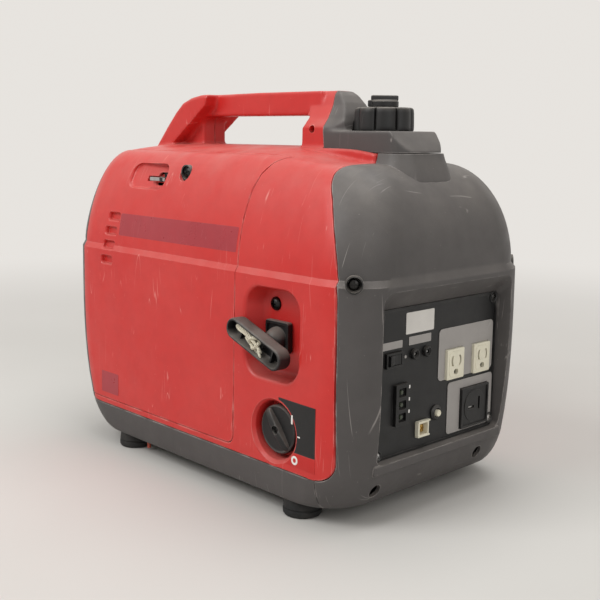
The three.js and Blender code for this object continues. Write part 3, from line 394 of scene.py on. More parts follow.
# ---- Finishes -----------------------------------------------------------------------------------
class Nodes:
    """A material's node tree, with short ways to add to it."""

    def __init__(self, name: str) -> None:
        """Starts an empty material.

        Args:
            name: The material's name.
        """
        self.material = bpy.data.materials.new(name)
        self.material.use_nodes = True
        self.tree = self.material.node_tree
        self.tree.nodes.clear()
        self.out = self.tree.nodes.new("ShaderNodeOutputMaterial")
        self.shader = self.tree.nodes.new("ShaderNodeBsdfPrincipled")
        self.link(self.shader.outputs["BSDF"], self.out.inputs["Surface"])
        self.place = self.add("ShaderNodeTexCoord").outputs["Object"]

    def add(self, kind: str, inputs: dict | None = None, **settings: object) -> bpy.types.Node:
        """Adds a node.

        Args:
            kind: The node's type name.
            inputs: Values or sockets for its inputs, by name or number.
            settings: Its own settings.

        Returns:
            The node.
        """
        node = self.tree.nodes.new(kind)
        for key, value in settings.items():
            setattr(node, key, value)
        for key, value in (inputs or {}).items():
            if isinstance(value, bpy.types.NodeSocket):
                self.link(value, node.inputs[key])
            else:
                node.inputs[key].default_value = value
        return node

    def link(self, source: bpy.types.NodeSocket, target: bpy.types.NodeSocket) -> None:
        """Joins two sockets."""
        self.tree.links.new(source, target)

    def math(self, operation: str, *values: object) -> bpy.types.NodeSocket:
        """Adds a Math node, held between 0 and 1 where it multiplies or adds masks."""
        return self.add("ShaderNodeMath", dict(enumerate(values)), operation=operation).outputs[0]

    def noise(self, scale: float, detail: float = 3.0, stretch: tuple[float, float, float] = (1, 1, 1),
              turn: tuple[float, float, float] = (0, 0, 0), rough: float = 0.55) -> bpy.types.NodeSocket:
        """Adds a noise pattern.

        Args:
            scale: Cells in a metre.
            detail: Octaves.
            stretch: Scale along the turned axes.
            turn: How those axes are turned, in radians.
            rough: How strong the small octaves are.

        Returns:
            Its factor.
        """
        at = self.add("ShaderNodeMapping", {"Vector": self.place, "Rotation": turn, "Scale": stretch})
        made = self.add("ShaderNodeTexNoise", {"Vector": at.outputs[0], "Scale": scale, "Detail": detail,
                                               "Roughness": rough})
        return made.outputs["Fac"]

    def ramp(self, value: bpy.types.NodeSocket, low: float, high: float, to_low: float = 0.0,
             to_high: float = 1.0) -> bpy.types.NodeSocket:
        """Adds a clamped range that carries low to to_low and high to to_high."""
        return self.add("ShaderNodeMapRange", {"Value": value, "From Min": low, "From Max": high,
                                               "To Min": to_low, "To Max": to_high}).outputs[0]

    def mix(self, amount: object, a: object, b: object) -> bpy.types.NodeSocket:
        """Adds a colour mix.

        Args:
            amount: Share of the second colour.
            a: First colour or socket.
            b: Second colour or socket.

        Returns:
            The mixed colour.
        """
        node = self.add("ShaderNodeMix", data_type="RGBA")
        for index, value in ((0, amount), (6, a), (7, b)):
            if isinstance(value, bpy.types.NodeSocket):
                self.link(value, node.inputs[index])
            else:
                node.inputs[index].default_value = value
        return node.outputs[2]

    def lines(self, scale: float, turn: float, width: float, where: float) -> bpy.types.NodeSocket:
        """Adds sparse, thin, long scratches.

        Args:
            scale: Scratches in a metre, across them.
            turn: Their direction, in radians.
            width: How wide they are, as a share of the pattern.
            where: How sparse they are, from 0 to 1.

        Returns:
            A mask of the scratches.
        """
        turned_by = (turn, 0.35 * turn, turn)
        pattern = self.noise(scale, 1.0, (1, 0.07, 0.07), turned_by)
        off = self.math("ABSOLUTE", self.math("SUBTRACT", pattern, 0.5))
        line = self.ramp(off, 0.0, width, 1.0, 0.0)
        patches = self.ramp(self.noise(scale * 0.35, 2.0, (1, 0.6, 1), turned_by), where, where + 0.06)
        return self.math("MULTIPLY", line, patches)

    def edges(self, radius: float) -> bpy.types.NodeSocket:
        """Returns a mask of the edges and corners within a radius in metres."""
        soft = self.add("ShaderNodeBevel", {"Radius": radius}, samples=4)
        hard = self.add("ShaderNodeNewGeometry").outputs["Normal"]
        dot = self.add("ShaderNodeVectorMath", {0: soft.outputs[0], 1: hard}, operation="DOT_PRODUCT")
        return self.ramp(dot.outputs["Value"], 0.985, 0.86)

    def bump(self, height: bpy.types.NodeSocket, strength: float, distance: float,
             under: bpy.types.NodeSocket | None = None) -> bpy.types.NodeSocket:
        """Adds a bump from a height, over another bump where one is given."""
        inputs = {"Height": height, "Strength": strength, "Distance": distance}
        if under is not None:
            inputs["Normal"] = under
        return self.add("ShaderNodeBump", inputs).outputs[0]


Colour = tuple[float, float, float]


def rgb(colour: Colour) -> tuple[float, float, float, float]:
    """Returns a written sRGB colour, 0 to 255, as a linear one."""
    def linear(c: float) -> float:
        """Returns one channel."""
        c /= 255
        return c / 12.92 if c <= 0.04045 else ((c + 0.055) / 1.055) ** 2.4
    return (*(linear(c) for c in colour), 1.0)


@dataclass(frozen=True)
class Moulded:
    """Moulded plastic that has been knocked about and stands out of doors."""

    name: str
    colour: Colour
    faded: Colour
    scratch: Colour
    roughness: float = 0.42
    grain: float = 0.12
    grain_scale: float = 1500.0
    scratches: float = 0.6
    wear: float = 0.5
    # How much paler upward faces turn: settled dust, and a painted highlight for the light from above.
    top_dust_and_light: float = 0.12
    fade: float = 0.5

    def material(self) -> bpy.types.Material:
        """Builds the finish: faded patches, dust and painted top light on upward faces, scratches, worn edges
        and a fine grain.
        """
        n = Nodes(self.name)
        cloud = n.ramp(n.noise(9, 4), 0.35, 0.75, 0.0, self.fade)
        colour = n.mix(cloud, rgb(self.colour), rgb(self.faded))
        mottle = n.ramp(n.noise(70, 3), 0.4, 0.7, 0.0, 0.14)
        colour = n.mix(mottle, colour, rgb(tuple(0.8 * c for c in self.colour)))
        # Upward faces turn paler towards a dusty beige: settled dust, and a painted highlight standing for
        # the light from above.
        up = n.add("ShaderNodeSeparateXYZ",
                   {0: n.add("ShaderNodeNewGeometry").outputs["Normal"]}).outputs["Z"]
        dust_and_top_light = n.math("MULTIPLY", n.ramp(up, 0.1, 0.95), n.ramp(n.noise(28, 5), 0.3, 0.75, 0.3, 1.0))
        dust_and_top_light = n.math("MULTIPLY", dust_and_top_light, self.top_dust_and_light)
        colour = n.mix(dust_and_top_light, colour, rgb((205, 196, 186)))
        marks = n.lines(60, 0.5, 0.005, 0.6)
        for scale, turn, width, where in ((36, 1.25, 0.003, 0.6), (110, -0.7, 0.009, 0.62),
                                          (27, 2.2, 0.0022, 0.58)):
            marks = n.math("MAXIMUM", marks, n.lines(scale, turn, width, where))
        specks = n.ramp(n.noise(420, 2), 0.74, 0.78, 0.0, 0.6)
        marks = n.math("MULTIPLY", n.math("MAXIMUM", marks, specks), self.scratches)
        colour = n.mix(marks, colour, rgb(self.scratch))
        rub = n.math("MULTIPLY", n.edges(0.0016), n.ramp(n.noise(55, 4), 0.38, 0.62))
        colour = n.mix(n.math("MULTIPLY", rub, self.wear), colour, rgb(self.scratch))
        rough = n.ramp(n.noise(45, 4), 0.3, 0.7, self.roughness - 0.07, self.roughness + 0.1)
        rough = n.math("ADD", rough, n.math("MULTIPLY", n.math("MAXIMUM", marks, dust_and_top_light), 0.3))
        wave = n.bump(n.noise(16, 2), 0.15, 0.004)
        scored = n.bump(marks, 0.25, -0.0004, wave)
        fine = n.bump(n.noise(self.grain_scale, 2), self.grain, 0.0004, scored)
        n.link(colour, n.shader.inputs["Base Color"])
        n.link(rough, n.shader.inputs["Roughness"])
        n.link(fine, n.shader.inputs["Normal"])
        n.shader.inputs["Specular IOR Level"].default_value = 0.42
        return n.material


@dataclass(frozen=True)
class Metal:
    """Bare or plated metal."""

    name: str
    colour: Colour
    tarnish: Colour
    roughness: float = 0.35
    brushed: tuple[float, float, float] = (1.0, 1.0, 1.0)
    bumps: float = 0.1

    def material(self) -> bpy.types.Material:
        """Builds the finish: tarnish in patches, brushing and a fine unevenness."""
        n = Nodes(self.name)
        patch = n.ramp(n.noise(60, 5), 0.42, 0.7)
        n.link(n.mix(patch, rgb(self.colour), rgb(self.tarnish)), n.shader.inputs["Base Color"])
        fine = n.noise(700, 3, self.brushed)
        n.link(n.ramp(fine, 0.3, 0.7, self.roughness - 0.08, self.roughness + 0.15),
               n.shader.inputs["Roughness"])
        n.link(n.bump(fine, self.bumps, 0.0003), n.shader.inputs["Normal"])
        n.shader.inputs["Metallic"].default_value = 1.0
        return n.material


@dataclass(frozen=True)
class Soft:
    """Rubber, hose, foam or printed film: one colour with a surface of its own."""

    name: str
    colour: Colour
    dusty: Colour
    roughness: float = 0.8
    pattern: float = 900.0
    bumps: float = 0.25
    clear: float = 0.0
    patches: float = 0.5

    def material(self) -> bpy.types.Material:
        """Builds the finish: dusty patches over the colour, and a fine texture."""
        n = Nodes(self.name)
        patch = n.ramp(n.noise(40, 5), 0.4, 0.72, 0.0, self.patches)
        n.link(n.mix(patch, rgb(self.colour), rgb(self.dusty)), n.shader.inputs["Base Color"])
        n.link(n.ramp(n.noise(120, 3), 0.3, 0.7, self.roughness - 0.08, self.roughness + 0.08),
               n.shader.inputs["Roughness"])
        n.link(n.bump(n.noise(self.pattern, 3), self.bumps, 0.0005), n.shader.inputs["Normal"])
        n.shader.inputs["Transmission Weight"].default_value = self.clear
        return n.material


@dataclass(frozen=True)
class Braid:
    """Braided starter cord, whose strands cross on the slant."""

    name: str
    colour: Colour
    shade: Colour

    def material(self) -> bpy.types.Material:
        """Builds the finish: two slanting sets of strands with painted shade between them."""
        n = Nodes(self.name)
        strands = [n.add("ShaderNodeTexWave", {"Vector": n.add("ShaderNodeMapping", {
            "Vector": n.place, "Rotation": (turn, 0.4, turn)}).outputs[0], "Scale": 210.0, "Distortion": 2.0,
            "Detail": 2.0}).outputs["Fac"] for turn in (0.8, -0.8)]
        weave = n.math("MAXIMUM", *strands)
        # Painted shade in the hollows between the strands, broken into patches by noise.
        weave_shade = n.math("MULTIPLY", n.ramp(weave, 0.75, 0.3), n.ramp(n.noise(60, 4), 0.3, 0.6))
        n.link(n.mix(weave_shade, rgb(self.colour), rgb(self.shade)), n.shader.inputs["Base Color"])
        n.link(n.bump(weave, 0.8, 0.0006), n.shader.inputs["Normal"])
        n.shader.inputs["Roughness"].default_value = 0.85
        return n.material


class Finish(Enum):
    """Every finish on the generator."""

    RED = Moulded("red shell", (196, 38, 35), (206, 68, 62), (236, 168, 160), 0.38, 0.10, 1300, 0.5, 0.55,
                  0.22, 0.45)
    GREY = Moulded("grey shell", (72, 69, 68), (90, 86, 85), (176, 170, 166), 0.5, 0.3, 1100, 0.55, 0.8,
                   0.22, 0.5)
    PANEL = Moulded("black panel", (15, 15, 16), (25, 25, 25), (105, 103, 101), 0.42, 0.22, 1900, 0.25, 0.3,
                    0.1, 0.4)
    BLACK = Moulded("black plastic", (14, 14, 15), (27, 26, 26), (110, 107, 104), 0.45, 0.25, 1600, 0.3,
                    0.75, 0.4, 0.5)
    CREAM = Moulded("cream plastic", (226, 222, 202), (212, 204, 182), (170, 160, 140), 0.35, 0.05, 900,
                    0.12, 0.1,
                    0.1, 0.5)
    PLATE = Moulded("printed plate", (158, 154, 151), (146, 142, 139), (205, 202, 199), 0.45, 0.06, 1400,
                    0.25, 0.3,
                    0.1, 0.5)
    STICKER = Moulded("plain sticker", (214, 211, 206), (198, 194, 188), (160, 155, 150), 0.4, 0.04, 900,
                      0.15, 0.1,
                      0.1, 0.4)
    DECAL = Moulded("smoked decal", (158, 40, 50), (172, 60, 68), (220, 160, 160), 0.3, 0.03, 900, 0.35, 0.1,
                    0.12,
                    0.5)
    RED_LABEL = Moulded("red label strip", (190, 30, 26), (176, 34, 30), (216, 150, 140), 0.4, 0.04, 900,
                        0.2, 0.1,
                        0.1, 0.4)
    WHITE_INK = Soft("white ink", (232, 230, 226), (214, 210, 204), 0.5, 700, 0.05)
    RUBBER = Soft("foot rubber", (26, 26, 26), (62, 58, 54), 0.85, 1100, 0.3)
    HOSE = Soft("drain hose", (206, 96, 74), (186, 112, 92), 0.4, 500, 0.08, 0.2)
    FOAM = Soft("filter foam", (52, 52, 55), (70, 68, 66), 0.95, 520, 1.0)
    LENS = Soft("lamp lens", (70, 78, 62), (60, 66, 54), 0.25, 300, 0.05, 0.3)
    ROPE = Braid("starter rope", (226, 220, 200), (140, 126, 102))
    DARK_ZINC = Metal("black zinc", (58, 57, 56), (36, 35, 35), 0.3)
    STEEL = Metal("bare steel", (186, 186, 186), (128, 120, 112), 0.32, (1, 0.1, 0.1))
    IRON = Metal("plain iron", (112, 110, 108), (92, 70, 56), 0.55)
    BRASS = Metal("plain brass", (200, 168, 96), (150, 118, 66), 0.3)
    ALLOY = Metal("die cast alloy", (182, 182, 184), (150, 148, 146), 0.5, (1, 1, 1), 0.35)

    def material(self) -> bpy.types.Material:
        """Returns this finish's material, made the first time that it's asked for."""
        return bpy.data.materials.get(self.value.name) or self.value.material()


# Which finish each slot of the record has.
SLOT_FINISH = {
    "red_shell": Finish.RED, "grey_shell": Finish.GREY, "panel_black": Finish.PANEL,
    "black_plastic": Finish.BLACK, "cream_plastic": Finish.CREAM, "rubber": Finish.RUBBER,
    "hose": Finish.HOSE, "foam": Finish.FOAM, "rope": Finish.ROPE, "screw": Finish.DARK_ZINC,
    "steel": Finish.STEEL, "iron": Finish.IRON, "brass": Finish.BRASS, "alloy": Finish.ALLOY,
}


def publish(name: str, solid: Solid, finish: Finish, body: str | None, replaces: tuple[str, ...] = (),
            sharp: float = 32.0) -> bpy.types.Object:
    """Shows a solid as a piece of the generator.

    Args:
        name: The piece's name.
        solid: Its shape, in millimetres about the mid-plane.
        finish: Its finish.
        body: The CAD body that it rides on, or None for a piece left unattached.
        replaces: CAD nodes that it stands for.
        sharp: Angle in degrees above which an edge stays sharp.

    Returns:
        The piece.
    """
    mesh = solid.mesh.copy()
    mesh.name = name
    mesh.transform(Matrix.Translation((0, MIDDLE, 0)) @ Matrix.Scale(MM, 4))
    mesh.materials.clear()
    mesh.materials.append(finish.material())
    mesh.shade_smooth()
    mesh.set_sharp_from_angle(angle=math.radians(sharp))
    piece = bpy.data.objects.new(name, mesh)
    bpy.context.scene.collection.objects.link(piece)
    ease = piece.modifiers.new("even normals", "WEIGHTED_NORMAL")
    ease.keep_sharp = True
    if body:
        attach(piece, body)
    if replaces:
        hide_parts(*replaces)
    LOG.info("%s: %d faces", name, len(mesh.polygons))
    return piece


# ---- Body form ----------------------------------------------------------------------------------
@dataclass(frozen=True)
class Face:
    """How far one side of the body stands in from the overall box, level by level."""

    base: float
    belt: float
    lean: float
    tuck: float
    step: float
    shoulder: float
    power: float


def bow(t: float, power: float) -> float:
    """Returns a rise from 0 to 1 along a rounded quarter."""
    return 1 - math.sqrt(1 - clamp(t) ** power)


def rounded_ring(u: Span, v: Span, radius: float, steps: int = 8) -> list[Point]:
    """Returns the points of a rectangle with round corners, anticlockwise from the middle of its far u side.

    Args:
        u: From and to in the first direction.
        v: From and to in the second.
        radius: Radius of the corners.
        steps: Steps round each corner.
    """
    points = []
    for quarter in range(4):
        a = u[1] - radius if quarter in (0, 3) else u[0] + radius
        b = v[1] - radius if quarter < 2 else v[0] + radius
        for step in range(steps + 1):
            angle = (quarter + step / steps) * math.pi / 2
            points.append((a + radius * math.cos(angle), b + radius * math.sin(angle)))
    return points


@dataclass(frozen=True)
class BodyForm:
    """The outside of the moulded body, and the sizes that its covers share."""

    length: float = 508.0
    width: float = 286.0
    bottom: float = 18.0
    tuck_z: float = 58.0
    belt_z: float = 240.0
    belt_rise: float = 6.0
    shoulder_z: float = 250.0
    edge_z: float = 357.0
    crown: float = 9.0
    crown_run: float = 46.0
    wall: float = 3.0
    seam: float = 0.8
    front_corner: float = 50.0
    rear_corner: float = 52.0
    base_seam_z: float = 50.0
    nose_x: float = 203.0
    front_seam: float = 30.0
    front_seam_corner: float = 20.0
    rear_seam: tuple[float, float] = (36.0, 17.0)
    fall_x: Span = (60.0, 183.0)
    fall_sink: float = 0.065
    fall_flat: float = 0.75
    spine_x: float = 40.0
    spine_half: float = 41.0
    riser_rear: float = 182.0
    corner_steps: int = 14
    front: Face = Face(10.5, 0, 3.1, 25, 3.2, 60, 2.2)
    rear: Face = Face(26, 6, 3.5, 40, 0, 31, 1.2)
    side: Face = Face(0, 3.5, 1, 6, 4, 50, 1.4)

    @property
    def top(self) -> float:
        """The height of the crown."""
        return self.edge_z + self.crown

    def inset(self, face: Face, z: float) -> float:
        """Returns how far a face stands in at a height."""
        lean = clamp((self.belt_z - z) / (self.belt_z - self.tuck_z)) ** face.lean
        tuck = bow((self.tuck_z - z) / (self.tuck_z - self.bottom), 1.3)
        step = clamp((z - self.belt_z) / self.belt_rise)
        shoulder = bow((z - self.shoulder_z) / (self.edge_z - self.shoulder_z), face.power)
        leaning = face.belt + (face.base - face.belt) * lean
        return leaning + face.tuck * tuck + face.step * step + face.shoulder * shoulder

    def front_at(self, z: float) -> float:
        """Returns the front face's x at a height."""
        return self.length / 2 - self.inset(self.front, z)

    def rear_at(self, z: float) -> float:
        """Returns the rear face's x at a height."""
        return self.inset(self.rear, z) - self.length / 2

    def side_at(self, z: float) -> float:
        """Returns the half width at a height."""
        return self.width / 2 - self.inset(self.side, z)

    def height(self, x: float, z: float, rise: float, falls: bool = True) -> float:
        """Returns the height of a point of the crown, which sinks and flattens as it runs forward.

        Args:
            x: Its place along the body.
            z: Its level before the crown's rise.
            rise: The crown's rise there.
            falls: Whether the crown sinks at all.
        """
        t = clamp((x - self.fall_x[0]) / (self.fall_x[1] - self.fall_x[0])) if falls else 0.0
        share = t * t * (3 - 2 * t)
        return z - self.fall_sink * share * max(0.0,
    z - self.shoulder_z) + rise * (1 - self.fall_flat * share)

    def ring(self, z: float, narrow: float, shrink: float, falls: bool = True) -> list[Vector]:
        """Returns one level of the body.

        Args:
            z: Its height, up to the shoulder's edge.
            narrow: Share of the full width, below 1 on the crown.
            shrink: How far inside the outer surface it is.
            falls: Whether the crown sinks towards the front.
        """
        drawn = self.crown_run * (1 - narrow) + shrink
        half = (self.side_at(z) - shrink) * narrow
        rise = self.crown * (1 - narrow * narrow)
        squeeze = shrink * (1 - 2 * (z - self.bottom) / (self.edge_z - self.bottom))
        front, rear = self.front_at(z) - drawn, self.rear_at(z) + drawn
        places = []
        for quarter in range(4):
            ahead = quarter in (0, 3)
            radius = min(self.front_corner if ahead else self.rear_corner, half * 0.9)
            x = front - radius if ahead else rear + radius
            y = half - radius if quarter < 2 else radius - half
            for step in range(self.corner_steps + 1):
                angle = (quarter + step / self.corner_steps) * math.pi / 2
                places.append((x + radius * math.cos(angle), y + radius * math.sin(angle)))
            if quarter == 0:
                places += [(at, half) for at in range(120, 50, -10)]
            elif quarter == 2:
                places += [(at, -half) for at in range(60, 130, 10)]
        return [Vector((x, y, self.height(x, z, rise, falls) + squeeze)) for x, y in places]

    def solid(self, shrink: float, falls: bool = True) -> Solid:
        """Returns the whole body, shrunk by an amount, with its crown sinking forward or level."""

        def arc(count: int, power: float) -> list[float]:
            """Returns shares from 0 to 1, closer together towards the end."""
            return [math.sin(i / count * math.pi / 2) ** (2 / power) for i in range(count + 1)]

        levels = [self.tuck_z - (self.tuck_z - self.bottom) * t for t in reversed(arc(9, 1.3))]
        levels += [self.tuck_z + (self.belt_z - self.tuck_z) * i / 8 for i in range(1, 9)]
        levels += [self.belt_z + self.belt_rise, self.shoulder_z]
        levels += [self.shoulder_z + (self.edge_z - self.shoulder_z) * t for t in arc(20, 2)[1:]]
        rings = [self.ring(z, 1, shrink, falls) for z in levels]
        rings += [self.ring(self.edge_z, 1 - i / 12, shrink, falls) for i in range(1, 12)]
        rings.append(self.ring(self.edge_z, 0.01, shrink, falls))
        return loft(rings)

    def spine(self) -> Solid:
        """Returns the raised middle of the crown, level from the handle to the filler."""
        middle = box((self.spine_x, self.riser_rear - self.seam), (-self.spine_half, self.spine_half),
                     (self.belt_z, FAR), 2.4)
        return self.solid(0, falls=False).common(middle)

    def side_point(self, x: float, z: float, sign: float, out: float = 0.0) -> Vector:
        """Returns the point of a side at a place along the body.

        Args:
            x: Place along the body.
            z: Height.
            sign: -1 for the starter's side, 1 for the other.
            out: How far outside the surface it is.
        """
        half = self.side_at(z)
        y = half
        for radius, end in ((self.front_corner, self.front_at(z)), (self.rear_corner, -self.rear_at(z))):
            radius = min(radius, half * 0.9)
            along = x if end == self.front_at(z) else -x
            past = min(max(0.0, along - (end - radius)), radius)
            y = min(y, half - radius + math.sqrt(radius * radius - past * past))
        return Vector((x, sign * (y + out), z))

    def top_point(self, x: float, y: float, out: float = 0.0) -> Vector:
        """Returns the point of the crown at a place along and across the body."""
        narrow = clamp(abs(y) / self.side_at(self.edge_z))
        return Vector((x, y, self.height(x, self.edge_z, self.crown * (1 - narrow * narrow)) + out))

    def front_edge(self, move: float) -> list[Point]:
        """Returns the line, in x and z, at which the front cover meets the side shells, shifted forward."""
        x, r = self.length / 2 - self.front_seam, self.front_seam_corner
        corner = [(x - r + r * math.cos(a), self.base_seam_z + r + r * math.sin(a))
                  for a in (-math.pi / 2 + i * math.pi / 16 for i in range(9))]
        drop = ((4.5, 99), (10.5, 76), (18, 56), (26, 39), (35, 26), (40.5, 16))
        upper = [(x, self.belt_z - 10), *((x - back, self.edge_z - low) for back, low in drop),
                 (self.riser_rear, self.edge_z - 10), (self.riser_rear, self.edge_z)]
        line = [(self.nose_x, self.base_seam_z), *corner, *upper]
        return [(u + move, v - move if v < self.belt_z else v + move) for u, v in line]

    def front_region(self, move: float) -> Solid:
        """Returns everything ahead of the front cover's edge."""
        line = self.front_edge(move)
        whole = [(line[0][0], -FAR), *line, (line[-1][0], FAR), (FAR, FAR), (FAR, -FAR)]
        return prism(Axis.Y, whole, (-FAR, FAR))

    def rear_edge(self, move: float) -> list[Point]:
        """Returns the line, in x and z, at which the rear cover meets the side shells."""
        on_side, on_crown = self.rear_seam
        line = []
        for i in range(15):
            z = self.base_seam_z + (self.edge_z - self.base_seam_z) * math.sin(i / 14 * math.pi / 2)
            share = clamp((z - self.shoulder_z) / (self.edge_z - self.shoulder_z)) ** 2
            line.append((self.rear_at(z) + on_side + (on_crown - on_side) * share + move, z))
        return line

    def rear_region(self, move: float) -> Solid:
        """Returns everything behind the rear cover's edge."""
        line = self.rear_edge(move)
        whole = [(-FAR, -FAR), (line[0][0], -FAR), *line, (line[-1][0], FAR), (-FAR, FAR)]
        return prism(Axis.Y, whole, (-FAR, FAR))


BODY = BodyForm()


@dataclass
class Casing:
    """The red side shells, the service cover, and the grey covers round them."""

    cove: float = 1.25
    cover_front: float = 82.0
    cover_bottom: float = 58.0
    cover_top_y: float = 82.0
    cover_corner: float = 10.0
    handle_rear: float = -198.0
    handle_front: float = 104.0
    handle_top: float = 425.0
    handle_leg: float = 34.5
    handle_bar: float = 17.5
    hole: Span = (-124.0, 70.0)
    under: float = 399.0
    slope: Point = (-118.0, 420.0)
    platform: float = 382.0
    platform_half: float = 36.0
    nose: float = 212.0
    neck_x: float = 156.0
    neck_hole: float = 23.0
    recess_x: Span = (98.0, 178.0)
    recess_z: Span = (138.0, 229.0)
    recess_floor: float = 118.0
    recess_draft: float = 12.0
    recess_corner: float = 22.0
    lip: float = 3.2
    well: tuple[float, float, float] = (145.0, 87.0, 30.0)
    well_floor: float = 122.0
    rope: Point = (130.0, 175.0)
    leg_screw: Point = (84.0, 384.0)
    plug_x: float = -35.0
    vents: tuple[Point, ...] = ((-162.5, 275.5), (-166.0, 258.5), (-168.5, 241.5), (-169.0, 224.0))
    vent_size: Point = (22.5, 8.5)
    vent_depth: float = 5.0
    choke_x: Span = (-138.0, -69.0)
    choke_z: Span = (315.0, 343.0)
    screw: Point = (-36.0, 335.0)
    panel_x: float = 237.0
    panel_half: float = 97.0
    panel_z: Span = (66.0, 215.0)
    tail: Point = (178.0, 17.0)
    outer: Solid = field(init=False)
    inner: Solid = field(init=False)
    skin: Solid = field(init=False)

    def __post_init__(self) -> None:
        """Makes the body's outer and inner forms and the skin between them."""
        self.outer, self.inner = BODY.solid(0), BODY.solid(BODY.wall)
        self.skin = self.outer.cut(self.inner)

    # Lines between the covers, each with a small cove along it.
    def cover_edge(self, move: float) -> list[Point]:
        """Returns the front and lower line of the service cover, in x and z, grown by an amount."""
        x, r = self.cover_front, self.cover_corner
        corner = [(x - r + (r + move) * math.cos(a), self.cover_bottom + r + (r + move) * math.sin(a))
                  for a in (-math.pi / 2 + i * math.pi / 12 for i in range(7))]
        top = [(x, 300), (x + 1.5, 322), (x + 6, 339), (x + 14, 350), (x + 27, 358), (x + 40, 362)]
        return [*corner, *((u + move, v - 0.5 * move) for u, v in top)]

    def cover_region(self, move: float) -> Solid:
        """Returns everything that the service cover takes."""
        line = self.cover_edge(move)
        whole = [(-FAR, self.cover_bottom - move), *line, (line[-1][0], FAR), (-FAR, FAR)]
        return prism(Axis.Y, whole, (-FAR, move - self.cover_top_y))

    def coves(self) -> list[Solid]:
        """Returns the small round grooves that soften both lips of each line between covers."""
        out = 0.45
        made = []
        for sign in (-1, 1):
            front = [BODY.side_point(x, z, sign, out) for x, z in BODY.front_edge(-BODY.seam / 2)[1:-1]]
            rear = [BODY.side_point(x, z, sign, out) for x, z in BODY.rear_edge(BODY.seam / 2)[:-2]]
            made += [tube(smooth_path(front, 3), self.cove, 2), tube(smooth_path(rear, 3), self.cove, 2)]
            base = [BODY.side_point(x, BODY.base_seam_z + BODY.seam / 2, sign, out)
                    for x in [BODY.rear_at(50) + 6 + i * 6 for i in range(70)] if x < BODY.nose_x + 2]
            made.append(tube(base, self.cove, 2))
        line = [(x, z) for x, z in self.cover_edge(BODY.seam / 2) if z < BODY.edge_z]
        start = [(x, self.cover_bottom - BODY.seam / 2) for x in range(-200, int(self.cover_front) - 14, 8)]
        cover = [BODY.side_point(x, z, -1, out) for x, z in start + line]
        made.append(tube(cover, self.cove, 2))
        top = [BODY.top_point(x, -self.cover_top_y + BODY.seam / 2, out) for x in range(-180, 112, 8)]
        made.append(tube(top, self.cove, 2))
        return made

    # The handle and the grey surround that carries its line on to the filler.
    def leg_line(self, move: float) -> list[Point]:
        """Returns the slanting line between the handle and the surround, from low to high."""
        rise = (self.handle_top + 40 - BODY.edge_z) / (self.handle_top - BODY.edge_z)
        foot = self.handle_front + 1 - move
        return [(foot, BODY.edge_z - 20), (foot, BODY.edge_z), (foot - 7 * rise, self.handle_top + 40)]

    def ahead_of_leg(self, move: float) -> Solid:
        """Returns everything ahead of that line."""
        line = self.leg_line(move)
        return prism(Axis.Y, [*line, (FAR, line[-1][1]), (FAR, line[0][1])], (-FAR, FAR))

    def handle(self) -> Solid:
        """Returns the carrying handle, standing on the crown with its roots flared into it."""
        r, f, top, edge = self.handle_rear, self.handle_front, self.handle_top, BODY.edge_z
        outline = [(r - 4, edge - 6), (r - 4, edge + 1), (r - 1, BODY.top - 1), (r + 21, BODY.top + 22),
                   (r + 39, BODY.top + 39), (r + 52, BODY.top + 49), (r + 69, BODY.top + 55),
                   (r + 88, top - 1),
                   (-20, top), (f + 26, top - 0.3), (f + 26, edge - 6)]
        whole = prism(Axis.Y, outline, (-self.handle_leg, self.handle_leg), bevel=4)
        waist = [(r + 30, edge - 8), (self.hole[1] - 6, edge - 8), (self.hole[1] - 4, top - 10),
                 (self.hole[1] - 16, top + 30), (self.slope[0] + 32, top + 30),
                 (self.slope[0] + 18, self.slope[1] - 9),
                 (r + 30, BODY.top - 2)]
        scoops = [prism(Axis.Y, waist, y, bevel=3) for y in
                  ((self.handle_bar, self.handle_leg + 20), (-self.handle_leg - 20, -self.handle_bar))]
        h0, h1 = self.hole
        hole = prism(Axis.Y, [(h0, edge - 9), (h0, self.under - 7), (h0 + 3, self.under - 1.5),
                              (h0 + 10, self.under),
                              (h1, self.under), (h1 - 4, edge - 9)], (-FAR, FAR), corner=5, steps=4)
        stump = whole.cut(*scoops, *self.tapers(self.hole[1] - 10, self.handle_bar), *self.tapers(f - 22, 9))
        sunk = Solid(self.outer.mesh).moved(Matrix.Translation((0, 0, -0.55)))
        pad = sunk.common(box((r - 12, BODY.riser_rear), (-56, 56), (edge - 24, FAR)))
        shape = stump.cut(hole).join(pad)
        soft = shape.join(BODY.spine().common(box((0, BODY.riser_rear), (-FAR, FAR),
                                                  (edge - 12, FAR)))).softened(1.5, 12)
        return soft.cut(below(edge - 20), self.inner)

    def tapers(self, x: float, half: float) -> list[Solid]:
        """Returns the cutters that narrow the front leg and the horn towards the top.

        Args:
            x: Where they start.
            half: Half of the width left at the top.
        """
        top, low = self.handle_top + 2, self.platform + 2
        line = [(half, top), (max(half, 14.0), top - 7), (18, top - 18), (26, low + 12),
                (self.platform_half + 1, low)]
        return [prism(Axis.X, [*((sign * y, z) for y, z in line), (sign * 70, low), (sign * 70, top)],
                      (x, FAR))
                for sign in (-1, 1)]

